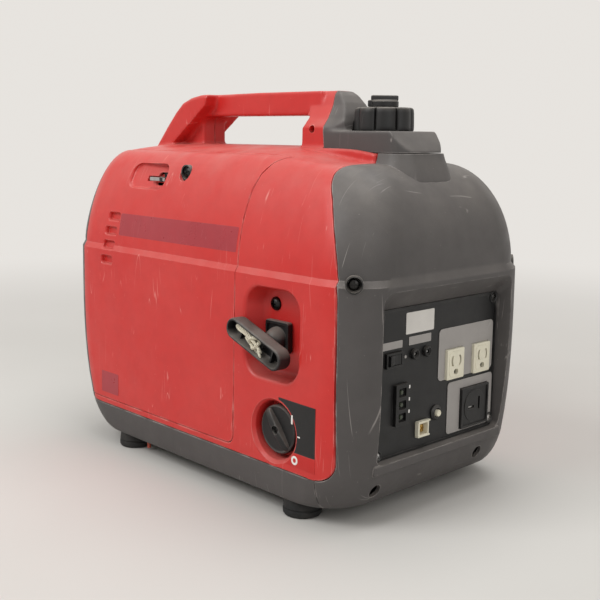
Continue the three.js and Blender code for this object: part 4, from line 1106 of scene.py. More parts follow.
    def surround(self) -> Solid:
        """Returns the grey platform round the filler and the horn that carries on the handle's line."""
        f, top, edge, half = self.handle_front, self.handle_top, BODY.edge_z, self.platform_half
        low = edge + 4.4
        plan = rounded_ring((f - 30, self.nose + 1), (-half, half), 19, 8)
        block = prism(Axis.Z, plan, (low - 6, self.platform + 0.6))
        slope = prism(Axis.Y, [(f - 40, low - 10), (f - 40, self.platform + 0.7),
                               (self.nose - 17, self.platform + 0.7),
                               (self.nose + 0.6, low + 1), (self.nose + 0.6, low - 10)], (-FAR, FAR))
        block = block.common(slope)
        horn_plan = [(f - 30, -half + 0.5), *[(f + (half + 4) * math.sin(a), -(half - 0.5) * math.cos(a))
                                              for a in (i * math.pi / 32 for i in range(33))],
                     (f - 30, half - 0.5)]
        side = prism(Axis.Y, [(f - 40, self.platform - 4), (f - 40, top), (f - 3, top - 0.5),
                              (f + 3, top - 5),
                              (f + 10, top - 13), (f + 17, top - 24), (f + 22, top - 34),
                              (f + 26, self.platform - 4)], (-FAR, FAR))
        horn = prism(Axis.Z, horn_plan, (self.platform - 4, top + 0.2)).common(side).cut(*self.tapers(f - 60,
        9))
        dish = rod(Axis.Z, 33.5, (self.platform + 0.2, FAR), (self.neck_x, 0), sides=96)
        soft = block.join(horn).softened(1.3, 7).cut(dish)
        neck = rod(Axis.Z, self.neck_hole, (0, FAR), (self.neck_x, 0), sides=72)
        ring = turned(Axis.Z, [(25, self.platform - 3), (28.5, self.platform - 3),
                               (28.5, self.platform + 0.4),
                               (25, self.platform + 0.4)], (self.neck_x, 0), 72)
        under = prism(Axis.Z, rounded_ring((f + 13, self.nose - 26), (6 - half, half - 6), 8),
                      (0, self.platform - 4))
        behind = prism(Axis.Y, [*self.leg_line(0), (-FAR, self.leg_line(0)[-1][1]),
                                (-FAR, self.leg_line(0)[0][1])],
                       (-FAR, FAR))
        return soft.join(ring).cut(under, neck, below(low), behind)

    def envelope(self, grow: float) -> Solid:
        """Returns the space that the surround takes from its neighbours."""
        half = self.platform_half + grow
        low = BODY.edge_z + 4.4 - grow
        plan = rounded_ring((self.handle_front - 60, self.nose + 1 + grow), (-half, half), 19 + grow, 8)
        return prism(Axis.Z, plan, (low, FAR)).common(self.ahead_of_leg(grow))

    # Pockets.
    def recess(self, grow: float) -> Solid:
        """Returns the starter's hand recess, with a rolled lip and a filleted floor, grown by an amount."""
        (x0, x1), (z0, z1) = self.recess_x, self.recess_z
        depth = BODY.width / 2 - self.recess_floor
        fillet = 6.0
        rings = []
        depths = [-40.0, 0.0] + [self.lip * (1 - math.cos(i * math.pi / 10)) for i in range(1, 6)]
        depths += [9.0, 14.0] + [depth - fillet * (1 - math.sin(i * math.pi / 10)) for i in range(0, 6)]
        for d in depths:
            flare = self.lip - math.sqrt(max(0.0, self.lip ** 2 - max(0.0, self.lip - max(d, 0.0)) ** 2))
            near = max(0.0, d - depth + fillet)
            pull = fillet - math.sqrt(max(0.0, fillet ** 2 - near ** 2))
            g = grow + flare - pull
            draft = self.recess_draft * clamp(d / depth)
            ring = rounded_ring(spread((x0 + draft, x1), g), spread((z0, z1), g),
            self.recess_corner + 0.6 * g, 8)
            share = d / depth
            points = []
            for x, z in ring:
                level = min(max(z, z0), z1)
                side = BODY.side_at(level)
                y = -side + (side - self.recess_floor + grow) * share if d > 0 else -side + d
                points.append(Vector((x, y, z)))
            rings.append(points)
        return loft(rings)

    def switch_well(self, grow: float) -> Solid:
        """Returns the engine switch's round well, with a bevelled rim."""
        x, z, r = self.well
        rim = BODY.side_at(z)
        profile = [(0, -FAR), (r + 3.4 + grow, -FAR), (r + 3.4 + grow, -rim), (r + 0.8 + grow, -rim + 2.8),
                   (r + grow, -rim + 4.2), (r + grow, grow - self.well_floor), (0, grow - self.well_floor)]
        return turned(Axis.Y, profile, (x, z), 96)

    def vent(self, at: Point, depths: tuple[tuple[float, float], ...]) -> Solid:
        """Returns one vent's pocket as a solid.

        Args:
            at: Its lower rear corner, in x and z.
            depths: Depth into the side and growth of the outline, one after another.
        """
        (x, z), (wide, tall) = at, self.vent_size
        lean = (BODY.side_at(z) - BODY.side_at(z + tall)) / tall
        rings = []
        for depth, grow in depths:
            ring = rounded_ring(spread((x, x + wide), grow), spread((z, z + tall), grow), 2.4 + grow, 5)
            rings.append([Vector((u, -BODY.side_at(z) + lean * (v - z) + depth, v)) for u, v in ring])
        return loft(rings)

    def vent_cutters(self) -> list[Solid]:
        """Returns the four blind vents in the service cover, each with a flared mouth."""
        profile = ((-30, 1.7), (0, 1.7), (0.7, 0.7), (1.8, 0), (self.vent_depth, -0.5))
        return [self.vent(at, profile) for at in self.vents]

    def vent_backs(self) -> list[Solid]:
        """Returns the closed boxes behind the vents."""
        return [self.vent(at, ((0.5, 3), (self.vent_depth + 1.8, 3))) for at in self.vents]

    def choke_ramp(self, edge: float, grow: float, floor: tuple[float, float]) -> Solid:
        """Returns the choke's pocket, whose floor sinks from its rear end to its front end.

        Args:
            edge: Growth of its mouth.
            grow: Growth of the pocket.
            floor: Depth of the floor at the rear end and at the front end.
        """
        (x0, x1), (z0, z1) = self.choke_x, self.choke_z
        middle, shallow = (z0 + z1) / 2, floor[0]
        lean = (BODY.side_at(z0) - BODY.side_at(z1)) / (z1 - z0)
        rings = []
        for share, extra in ((-8, edge + 1.4), (0, edge + 1.4), (0.18, edge + 0.5), (0.45, edge),
                             (0.85, grow - 0.4),
                             (1, grow - 2.4)):
            ring = rounded_ring(spread((x0, x1), extra), spread((z0, z1), extra), 11 + extra, 10)
            points = []
            for u, v in ring:
                run = clamp((u - x0) / (x1 - x0))
                depth = shallow + (floor[1] - shallow) * run if share > 0 else 4.0
                points.append(Vector((u, -BODY.side_at(middle) + lean * (v - middle) + share * depth, v)))
            rings.append(points)
        return loft(rings)

    def choke_cutters(self) -> list[Solid]:
        """Returns the choke's sunk pocket and the opening at its deep end."""
        (_, x1), (z0, z1) = self.choke_x, self.choke_z
        y = -BODY.side_at((z0 + z1) / 2)
        opening = prism(Axis.Y, rounded_ring((x1 - 27, x1 - 0.5), (z0 + 3.5, z1 - 9.5), 4.5, 6),
                        (y - 2, y + 40))
        slit = box((x1 - 43, x1 - 20), (y - 2, y + 40), (z0 + 8, z0 + 14))
        return [self.choke_ramp(0, 0, (4.5, 12.5)), opening, slit]

    def screw_cutters(self) -> list[Solid]:
        """Returns the cup of the service cover's screw and the hole under it."""
        x, z = self.screw
        y = -BODY.side_at(z)
        return [rod(Axis.Y, 9.2, (-FAR, y + 5.5), (x, z)), rod(Axis.Y, 3.6, (-FAR, y + 60), (x, z), sides=24)]

    # Covers.
    def blank(self) -> Solid:
        """Returns the shells' skin with the handle on it, less what the other covers take."""
        gap = BODY.seam
        x = (self.plug_x - 42 - gap, self.plug_x + 42 + gap)
        hatch = prism(Axis.Z, rounded_ring(x, (-26 - gap, 26 + gap), 9), (BODY.top - 8, BODY.top + 3))
        neck = rod(Axis.Z, self.neck_hole, (0, FAR), (self.neck_x, 0))
        return self.skin.join(self.handle()).cut(*self.coves(), below(BODY.base_seam_z + gap),
                                                 BODY.front_region(-gap),
                                                 BODY.rear_region(gap), self.envelope(gap), neck, hatch)

    def build(self) -> None:
        """Builds and shows every cover."""
        gap = BODY.seam
        blank = self.blank()
        half = gap / 2
        left = blank.cut(box((-FAR, FAR), (-half, FAR), (-FAR, FAR)), self.cover_region(gap))
        left = left.join(self.recess(BODY.wall).common(self.outer),
                         self.switch_well(BODY.wall).common(self.outer))
        x, z, _ = self.well
        leg_screw = rod(Axis.Y, 4.2, (-FAR, -self.handle_leg + 9), self.leg_screw, sides=32)
        slope_hole = rod(Axis.Z, 3.2, (388, FAR), (-146, -26), sides=24)
        left = left.cut(self.recess(0), self.switch_well(0), rod(Axis.Y, 7.5, (-FAR, -70), self.rope),
                        rod(Axis.Y, 6, (-FAR, -70), (x, z)), leg_screw, slope_hole)
        publish("left_shell_moulding", left, Finish.RED, "casing", ("left_shell",))
        right = blank.cut(box((-FAR, FAR), (-FAR, half), (-FAR, FAR)),
                          rod(Axis.Y, 4.2, (self.handle_leg - 9, FAR), self.leg_screw, sides=32))
        publish("right_shell_moulding", right, Finish.RED, "casing", ("right_shell",))
        backs = [piece.common(self.outer)
                 for piece in (*self.vent_backs(), self.choke_ramp(3, 3, (7.5, 15.5)))]
        cover = blank.common(self.cover_region(0)).join(*backs).cut(*self.vent_cutters(),
                                                                    *self.choke_cutters(),
                                                                    *self.screw_cutters())
        publish("service_cover_moulding", cover, Finish.RED, "service_cover", ("maintenance_cover",))
        hatch = self.skin.common(prism(Axis.Z,
                                       rounded_ring((self.plug_x - 42, self.plug_x + 42), (-26, 26), 8),
                                       (BODY.top - 8, BODY.top + 3)))
        thumb = box((self.plug_x - 9, self.plug_x + 9), (-29, -22), (BODY.top - 1.6, FAR), 1.2)
        publish("plug_hatch_moulding", hatch.cut(thumb), Finish.RED, "plug_hatch", ("spark_plug_cover",))
        self.build_grey()

    def recess_front(self, grow: float) -> Solid:
        """Returns the control panel's recess, with flared walls, grown by an amount."""
        (z0, z1), half, x = self.panel_z, self.panel_half, self.panel_x
        rings = []
        for at, side, low, high, r in ((60, 0, 0, 0, 6), (x, 0, 0, 0, 6), (x + 5, 1.2, 0.6, 4.5, 7),
                                       (x + 12, 3.4, 1.4, 13, 9), (x + 15.4, 5.4, 2.2, 17.2, 11),
                                       (x + 17.5, 8.6, 3.4, 20, 13), (x + 60, 12, 6, 21, 14)):
            ring = rounded_ring(spread((-half, half), side + grow), (z0 - low - grow, z1 + high + grow),
                                r + grow, 8)
            rings.append([Vector((at, y, z)) for y, z in ring])
        return loft(rings)

    def build_grey(self) -> None:
        """Builds and shows the front, rear, lower and filler covers."""
        coves = self.coves()
        sleeve = self.recess_front(BODY.wall).common(box((self.panel_x - 6, FAR), (-FAR, FAR), (-FAR, FAR)),
                                                     self.outer)
        sill = box((self.panel_x - 6, self.panel_x + 9.3), (-102, 102), (54.5, 66), 2.6)
        low = BODY.edge_z - 22
        levels = ((low - 14, 12.0), (low, 10.5), (low + 10, 7.0), (BODY.edge_z - 3, 3.0),
                  (BODY.edge_z + 3.6, 1.0))
        riser = loft([[Vector((x, y, z)) for x, y in rounded_ring(
            (BODY.riser_rear - 30 - g, self.nose + 3 + g), (-self.platform_half - g, self.platform_half + g),
                                                                  19 + g, 10)]
            for z, g in levels])
        front = self.skin.join(sleeve, sill, riser.cut(self.inner)).cut(
            *coves, self.recess_front(0), self.inner.cut(sleeve), rod(Axis.Z, self.neck_hole, (0, FAR), (self.neck_x, 0)))
        front = front.common(BODY.front_region(0)).cut(*self.corner_screw_holes())
        publish("front_cover_moulding", front, Finish.GREY, "casing", ("front_cover",))
        publish("filler_surround_moulding", self.surround(), Finish.GREY, "casing",
                ("filler_surround",))
        z, r = self.tail
        rear = self.skin.cut(*coves).common(BODY.rear_region(0)).cut(below(BODY.base_seam_z + BODY.seam))
        louvres = [box((-FAR, -194), (-70, 70), (z + 36 + i * 14, z + 42 + i * 14), 2.4) for i in range(4)]
        flue = turned(Axis.X, [(0, -300), (r + 8, -300), (r + 8, -248), (r + 2, -244.5), (r, -240), (r, -180),
                               (0, -180)], (0, z), 64)
        publish("rear_cover_moulding", rear.cut(*louvres, flue), Finish.GREY, "casing", ("rear_cover",))
        base = self.skin.cut(*coves).common(below(BODY.base_seam_z)).cut(
            BODY.front_region(-BODY.seam), rod(Axis.Z, 3.3, (-FAR, FAR), (-103, -120), sides=24))
        publish("base_tray_moulding", base, Finish.GREY, "casing", ("under_cover",))

    def corner_screw_holes(self) -> list[Solid]:
        """Returns the cups of the front cover's screws."""
        return [
            rod(Axis.Z, 8.6, (-6, 60), (0, 0)).moved(self.corner_frame(sign)) for sign in (-1, 1)
        ] + [rod(Axis.X, 7, (226, FAR), (y, z)) for y, z in ((-92, 37), (70, 41))]

    @staticmethod
    def corner_frame(sign: float) -> Matrix:
        """Returns the place of a front corner's screw, facing out of the corner."""
        turn = Matrix.Rotation(math.radians(43) * sign, 4, "Z") @ Matrix.Rotation(math.radians(90), 4, "Y")
        return Matrix.Translation((237.5 - (sign > 0) * 2.2, sign * 127.5 - (sign > 0) * 2.2, 243.5)) @ turn


# ---- Pieces on the body -------------------------------------------------------------------------
def film(region: Solid, thick: float = 0.3, sunk: float = 0.25) -> Solid:
    """Returns a thin film that lies on the body's surface inside a region."""
    return BODY.solid(-thick).common(region).cut(BODY.solid(sunk))


def cross_head(radius: float, height: float, drive: float = 0.55, sides: int = 40) -> Solid:
    """Makes a screw's domed head with a cross recess, standing on z = 0.

    Args:
        radius: The head's radius.
        height: The head's height.
        drive: The recess' length as a share of the head.
        sides: Facets round the head.

    Returns:
        The head.
    """
    dome = [(0, -2.0), (radius * 0.86, -2.0), (radius * 0.86, 0)]
    dome += [(radius * math.cos(a), height * math.sin(a)) for a in (i * math.pi / 16 for i in range(8))]
    head = turned(Axis.Z, [*dome, (0, height)], (0, 0), sides)
    long, wide = radius * drive, radius * 0.13
    cuts = [box(u, v, (height * 0.35, height + 1)) for u,
            v in (((-long, long), (-wide, wide)), ((-wide, wide), (-long, long)))]
    return head.cut(*cuts)


def facing(axis: Axis, at: tuple[float, float, float], turn: float = 0.0) -> Matrix:
    """Returns the matrix that stands a z-up shape on a place so that it faces -Y or +X.

    Args:
        axis: Y for the starter's side, X for the panel.
        at: The place.
        turn: Turn about its own axis, in degrees.
    """
    tilt = Matrix.Rotation(math.pi / 2, 4, "Y" if axis is Axis.X else "X")
    return Matrix.Translation(at) @ tilt @ Matrix.Rotation(math.radians(turn), 4, "Z")


@dataclass
class FuelCap:
    """The eight-lobed fuel cap and its vent lever."""

    x: float = 156.0
    low: float = 382.5
    radius: float = 31.0
    height: float = 24.0
    lobes: int = 8
    lever: float = 14.5
    lever_height: float = 12.0

    def ring(self, z: float, radius: float, depth: float) -> list[Vector]:
        """Returns one level of the cap: round lobes with narrow valleys between them."""
        points = []
        for i in range(192):
            angle = i / 192 * 2 * math.pi
            swell = abs(math.cos(self.lobes * angle / 2)) ** 0.34
            r = radius - depth + depth * swell
            points.append(Vector((self.x + r * math.cos(angle), r * math.sin(angle), z)))
        return points

    def build(self) -> None:
        """Builds and shows the cap and the lever."""
        low, top, r = self.low, self.low + self.height, self.radius
        levels = [(low, r - 1.2, 2.5), (low + 1.2, r - 0.2, 4.2), (low + 5, r, 5.0), (top - 6, r - 0.3, 5.0),
                  (top - 2.0, r - 0.8, 4.8), (top - 0.7, r - 1.8, 4.2), (top, r - 3.4, 3.4)]
        body = loft([self.ring(z, radius, depth) for z, radius, depth in levels])
        well = rod(Axis.Z, 24, (low - 1, top - 4), (self.x, 0), sides=72)
        dish = turned(Axis.Z, [(0, top - 1.4), (19.5, top - 1.4), (21, top + 0.2), (21, top + 9),
                               (0, top + 9)],
                      (self.x, 0), 96)
        boss = turned(Axis.Z, [(0, top - 2), (16.8, top - 2), (16.8, top + 0.1), (15.8, top + 0.4),
                               (0, top + 0.4)],
                      (self.x, 0), 72)
        pin = rod(Axis.Z, 4, (top - 1, top + 3), (self.x, 0), 0.4, 32)
        publish("fuel_cap_knob", body.cut(well, dish).join(boss, pin), Finish.BLACK, "cap",
                ("fuel_cap",), 40)
        z0 = top + 0.5
        z1 = z0 + self.lever_height
        disc = turned(Axis.Z, [(0, z0), (self.lever - 0.8, z0), (self.lever, z0 + 0.9),
                               (self.lever, z1 - 6.6),
                               (self.lever - 1.8, z1 - 4.6), (0, z1 - 4.2)], (self.x, 0), 72)
        at = Matrix.Translation((self.x, 0, 0))
        ridge = box((-14, 14), (-3.4, 3.4), (z1 - 6, z1), 1.4).moved(at @ Matrix.Rotation(0.9, 4, "Z"))
        tongue = box((4, 17), (-5, 5), (z0 + 0.2, z1 - 5), 1.2).moved(at @ Matrix.Rotation(-2.3, 4, "Z"))
        bore = rod(Axis.Z, 4.5, (z0 - 1, z0 + 3.5), (self.x, 0), sides=32)
        publish("vent_lever_disc", disc.join(ridge, tongue).cut(bore), Finish.BLACK, "vent",
                ("vent_lever",))


@dataclass
class Starter:
    """The starter's grip, its rope, the guide in the recess and the screw above it."""

    x: float = 130.0
    z: float = 175.0
    back: float = 141.0
    length: float = 84.0
    height: float = 22.0
    depth: float = 17.0
    wall: float = 3.0
    tilt: float = 20.5
    floor: float = 118.0
    thick: float = 2.5
    shaft_z: float = 122.0
    reel: float = 53.0
    screw: Point = (122.0, 210.0)

    def stadium(self, grow: float, y: float) -> list[Vector]:
        """Returns a ring of the grip's outline, level with the grip.

        Args:
            grow: How far outside the outline it is.
            y: How far out of the body it is.
        """
        half, tall = self.length / 2 + grow, self.height / 2 + grow
        ring = rounded_ring((-half, half), (-tall, tall), min(tall - 0.2, 12.2 + grow), 10)
        return [Vector((u, -y, v)) for u, v in ring]

    def frame(self) -> Matrix:
        """Returns the grip's place and tilt."""
        return (Matrix.Translation((self.x, 0, self.z))
                @ Matrix.Rotation(math.radians(self.tilt), 4, "Y"))

    def grip(self) -> Solid:
        """Returns the hollow grip, with a rolled rim and ribs inside."""
        b, d = self.back, self.depth
        outer = loft([self.stadium(g, b + y) for y, g in
                      ((0, -3.4), (0.5, -1.9), (1.6, -0.7), (3.4, -0.1), (8, 0), (d - 2.2, 0),
                       (d - 0.8, -0.3), (d, -1.1))])
        hollow = loft([self.stadium(-self.wall + g, b + y) for y, g in
                       ((5.2, -1.6), (6.2, -0.5), (8, 0), (d - 1.4, 0.1), (d - 0.4, 0.6), (d + 3, 1.6))])
        ribs = [box((u - 0.9, u + 0.9), (-(b + 11), -(b + 3)), (-9.2, 9.2)) for u in (-24, 24)]
        boss = rod(Axis.Y, 7.0, (-(b + 7.5), -(b + 2)), (0, 0), 0.6)
        bore = rod(Axis.Y, 2.85, (-FAR, -b + 6), (0, 0), sides=24)
        return outer.cut(hollow).join(*ribs, boss).cut(bore).moved(self.frame())

    def knot(self) -> Solid:
        """Returns the rope's knot and its two frayed loops inside the grip."""
        b = self.back
        y = -(b + 11.2)
        tail = [Vector(p) for p in ((0, -(b + 5), 0), (-2, y + 1, 1), (-9, y - 1, 3.2), (-18, y - 1.2, 4.4),
                                    (-27, y - 0.8, 4.6), (-31, y - 0.2, 2.6), (-27, y, 0.8),
                                    (-18, y - 0.6, 1.6),
                                    (-8, y - 2.2, 2.2), (2, y - 2.6, 0.8), (8, y - 2, -2.6),
                                    (9, y - 0.6, -5.4),
                                    (4, y, -6.6), (-3, y - 0.6, -4.8), (-10, y - 0.8, -2.4), (-15, y, -1.4))]
        over = [Vector(p) for p in ((-6, y + 1, -5), (-7.5, y - 2.6, -1), (-5.5, y - 4, 3), (-1, y - 2.4, 6),
                                    (3.5, y + 0.4, 5.4), (5, y - 2.2, 1.6), (3.4, y - 4, -2),
                                    (-0.6, y - 2.6, -5.4),
                                    (-4.6, y + 0.2, -5.8))]
        fray = [Vector(p) for p in ((6, y - 1.5, -3), (11, y - 3, -6), (13, y - 2.4, -8.4))]
        made = tube(smooth_path(tail, 6), 1.8, 3)
        return made.join(tube(smooth_path(over, 6), 1.8, 3),
    tube(smooth_path(fray, 4), 1.3, 3)).moved(self.frame())

    def build(self) -> None:
        """Builds and shows the starter's pieces."""
        publish("starter_grip_handle", self.grip(), Finish.BLACK, "grip", ("starter_grip",), 40)
        publish("rope_knot", self.knot(), Finish.ROPE, "grip")
        x, z, f = self.x, self.z, self.floor
        plate = prism(Axis.Y, rectangle((x - 17, x + 17), (z - 13, z + 19)), (-f - 7.5, -f - 0.4), 3, 5, 1.2)
        lip = prism(Axis.Y, rectangle((x - 14, x + 14), (z - 10, z + 16)), (-f - 9, -f - 5.6), 2.4, 5)
        profile = [(0, -f + 3)]
        profile += [(6.5, -f + 3), (6.5, -f - 1), (13.2, -f - 5.4), (12.8, -f - 8.6), (11.4, -f - 12),
                    (9.6, -f - 15),
                    (8.0, -f - 17), (6.4, -f - 18.2), (3.2, -f - 18.6), (0, -f - 18.6)]
        nose = turned(Axis.Y, profile, (x, z), 64)
        bore = turned(Axis.Y, [(0, -f + 9), (3, -f + 9), (3, -f - 15.6), (4.4, -f - 19), (0, -f - 19)],
                      (x, z), 32)
        publish("rope_guide_block", plate.cut(lip).join(nose).cut(bore), Finish.BLACK, "casing",
                ("rope_guide",))
        start, end = -(f + 17.5), -(self.back + 1)
        path = [Vector((x, y, z)) for y in (-f + 20, -f, start, (start + end) / 2, end, -(self.back + 8))]
        ring = [Vector((x, self.reel * math.cos(a), self.shaft_z + self.reel * math.sin(a)))
                for a in (i * math.pi / 36 for i in range(72))]
        run = tube([Vector((x, y, z)) for y in (0, -30, -60, -90)] + path, self.thick, 4)
        rope = publish("rope_run", run, Finish.ROPE, None, ("starter_rope",))
        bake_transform(rope)
        publish("rope_turn", tube(ring, self.thick, 4, True), Finish.ROPE, "reel")
        screw = cross_head(7.2, 4.6, 0.5).moved(facing(Axis.Y, (self.screw[0], -f - 0.1, self.screw[1])))
        publish("recess_screw", screw, Finish.DARK_ZINC, "casing")


@dataclass
class EngineSwitch:
    """The round engine switch and the plain label beside it."""

    x: float = 145.0
    z: float = 87.0
    well: float = 30.0
    floor: float = 122.0
    knob: float = 25.0
    label_x: Span = (154.0, 204.0)
    label_z: Span = (57.0, 122.0)
    strip: float = 15.0

    def turned_knob(self) -> Solid:
        """Returns the knob: a dished disc with a wedge-shaped ridge across it."""
        x, z = self.x, self.z
        face = -(self.floor + 14.5)
        disc = turned(Axis.Y, [(0, -self.floor - 0.5), (self.knob - 1, -self.floor - 0.5),
                               (self.knob, -self.floor - 1.5),
                               (self.knob, face + 1.6), (self.knob - 0.5, face + 0.5),
                               (self.knob - 1.7, face),
                               (self.knob - 3.4, face + 0.9), (0, face + 1.3)], (x, z), 96)
        spindle = rod(Axis.Y, 5, (-self.floor - 1, -self.floor + 10), (x, z), sides=32)
        wedge = []
        for along, tall, wide in ((-23.5, 1.0, 3.6), (-20, 3.6, 4.4), (-10, 4.8, 5.2), (0, 5.2, 5.6),
                                  (10, 4.8, 5.2),
                                  (20, 3.6, 4.4), (23.5, 1.0, 3.6)):
            section = [(-wide, 1.5), (wide, 1.5), (wide * 0.82, -tall + 1.1), (wide * 0.5, -tall),
                       (-wide * 0.5, -tall),
                       (-wide * 0.82, -tall + 1.1)]
            wedge.append([Vector((along, v, u)) for u, v in section])
        bar = loft(wedge).moved(Matrix.Translation((x, face + 0.6, z)) @ Matrix.Rotation(math.radians(52), 4,
        "Y"))
        well = rod(Axis.Y, 4.6, (face - 9, face - 1.6), (x, z), sides=40)
        return disc.join(spindle, bar).cut(well)

    def build(self) -> None:
        """Builds and shows the knob, its screw, the label and its two signs."""
        x, z = self.x, self.z
        publish("switch_knob_disc", self.turned_knob(), Finish.BLACK, "switch_knob",
                ("engine_switch_knob",), 35)
        screw = cross_head(3.4, 1.4, 0.7, 28).moved(facing(Axis.Y, (x, -(self.floor + 15.9), z)))
        publish("switch_knob_screw", screw, Finish.DARK_ZINC, "switch_knob")
        around = rod(Axis.Y, self.well + 4.4, (-FAR, 0), (x, z), sides=96)
        (x0, x1), (z0, z1) = self.label_x, self.label_z
        slant = [(x0 + 3, z0 + 1), (x1, z0), (x1, z1), (x0 - 2, z1 + 1)]
        sheet = film(prism(Axis.Y, slant, (-FAR, -100))).cut(around)
        low = below(z0 + self.strip)
        publish("switch_label", sheet.cut(low), Finish.PANEL, "casing")
        publish("switch_label_strip", sheet.common(low), Finish.RED_LABEL, "casing")
        run = film(box((171.2, 173.2), (-FAR, -100), (100, 109)), 0.55, 0.1)
        tick = film(box((180.6, 184), (-FAR, -100), (88.4, 89.8)), 0.55, 0.1)
        publish("switch_sign_on", run.join(tick), Finish.WHITE_INK, "casing")
        oval = prism(Axis.Y, rounded_ring((172.6, 181.4), (60, 69), 4.3, 8), (-FAR, -100)).cut(
            prism(Axis.Y, rounded_ring((174.8, 179.2), (62.2, 66.8), 2.1, 8), (-FAR - 9, 0)))
        publish("switch_sign_off", film(oval, 0.55, 0.1), Finish.WHITE_INK, "casing")


@dataclass
class Choke:
    """The choke's steel lever, the shutter behind its slot and the service cover's screw."""

    x: Span = (-101.0, -72.0)
    z: float = 326.0
    screw: Point = (-36.0, 335.0)

    def build(self) -> None:
        """Builds and shows the lever, the shutter and the screw."""
        y = -BODY.side_at(self.z)
        bar = box(self.x, (y + 1.6, y + 4.2), (self.z - 2.2, self.z + 2.2), 0.8)
        publish("choke_lever_bar", bar, Finish.STEEL, "choke_slide", ("choke_lever",))
        neck = box((-78.5, -73.5), (y + 3, y + 17), (self.z - 1.8, self.z + 1.8), 0.5)
        slide = box((-92, -66), (y + 16, y + 19), (self.z - 25, self.z + 8), 0.6)
        pad = box((-81.5, -76), (y + 0.9, y + 5), (self.z - 2.9, self.z + 2.9), 1.0)
        publish("choke_lever_slide", pad.join(neck, slide).cut(bar), Finish.BLACK, "choke_slide")
        shutter = box((-126, -92.5), (y + 16.2, y + 17.4), (self.z - 5, self.z + 5), 0.4)
        publish("choke_shutter", shutter, Finish.RED, "choke_slide")
        x, z = self.screw
        y = -BODY.side_at(z)
        cup = turned(Axis.Y, [(3.8, y + 5.4), (8.9, y + 5.4), (8.9, y + 0.4), (7.6, y + 0.4), (7.4, y + 3.6),
                              (3.8, y + 3.6)], (x, z), 48)
        publish("cover_screw_cup", cup, Finish.BLACK, "service_cover")
        head = cross_head(6.4, 2.6, 0.68).moved(facing(Axis.Y, (x, y + 3.4, z), 20))
        shank = rod(Axis.Y, 3, (y + 2.4, y + 24), (x, z), sides=24)
        publish("cover_screw_head", head.join(shank), Finish.DARK_ZINC, "service_screw", ("cover_screw",))


@dataclass
class Feet:
    """The four rubber feet."""

    radius: float = 20.0
    places: tuple[tuple[str, float, float], ...] = (
        ("front_left", 163, -118), ("front_right", 163, 118), ("rear_left", -133, -118),
                                                    ("rear_right", -133, 118))

    def build(self) -> None:
        """Builds and shows each foot, with a grooved side and a recessed sole."""
        r, top = self.radius, 17.65
        profile = [(0, 2.2), (8, 2.2), (9, 0), (r - 3.2, 0), (r - 1.2, 0.7), (r, 2.6), (r, 6.4),
                   (r - 1.4, 7.2),
                   (r - 1.4, 8.2), (r - 0.4, 9), (r - 1.6, top), (0, top)]
        for name, x, y in self.places:
            publish("foot_pad_" + name, turned(Axis.Z, profile, (x, y), 64), Finish.RUBBER, "casing",
                    ("foot_" + name,), 40)


@dataclass
class Trim:
    """The decals left bare, the drain hose and the screws of the front cover."""

    def build(self) -> None:
        """Builds and shows the trim."""
        decal = film(prism(Axis.Y, rectangle((-137, 78), (259, 284.5)), (-FAR, -60), 2), 0.16, 0.25)
        publish("side_decal", decal, Finish.DECAL, "service_cover")
        badge = film(prism(Axis.Y, rectangle((-169, -133), (65, 91)), (-FAR, -60), 1.5), 0.2, 0.25)
        publish("lower_sticker", badge, Finish.DECAL, "service_cover")
        for sign, name in ((-1, "left"), (1, "right")):
            head = cross_head(5.6, 2.4, 0.68).moved(Casing.corner_frame(sign) @ Matrix.Translation((0, 0,
            -4.2)))
            publish("corner_screw_" + name, head, Finish.DARK_ZINC, "casing")
            cup = turned(Axis.Z, [(6, -5.8), (8.5, -5.8), (8.5, 0.6), (7.4, 0.9), (7.0, -3.6), (6, -4.6)],
                         (0, 0), 48)
            publish("corner_screw_cup_" + name, cup.moved(Casing.corner_frame(sign)), Finish.BLACK, "casing")
        for y, z, name in ((-92, 37, "left"), (70, 41, "right")):
            head = cross_head(5.2, 2.2, 0.68).moved(facing(Axis.X, (226.4, y, z)))
            publish("lower_screw_" + name, head, Finish.DARK_ZINC, "casing")
        points = [Vector((-103, -120, 62 - 59 * i / 17)) + Vector((0.5 * math.sin(i / 5),
        -0.5 * math.sin(i / 6), 0))
                  for i in range(18)]
        outside = tube(smooth_path(points, 2), 2.3, 5)
        inside = tube([points[-3], points[-2], points[-1], points[-1] - Vector((0, 0, 3))], 1.4, 4)
        hose = publish("drain_hose_tube", outside.cut(inside), Finish.HOSE, "casing", ("drain_hose",))


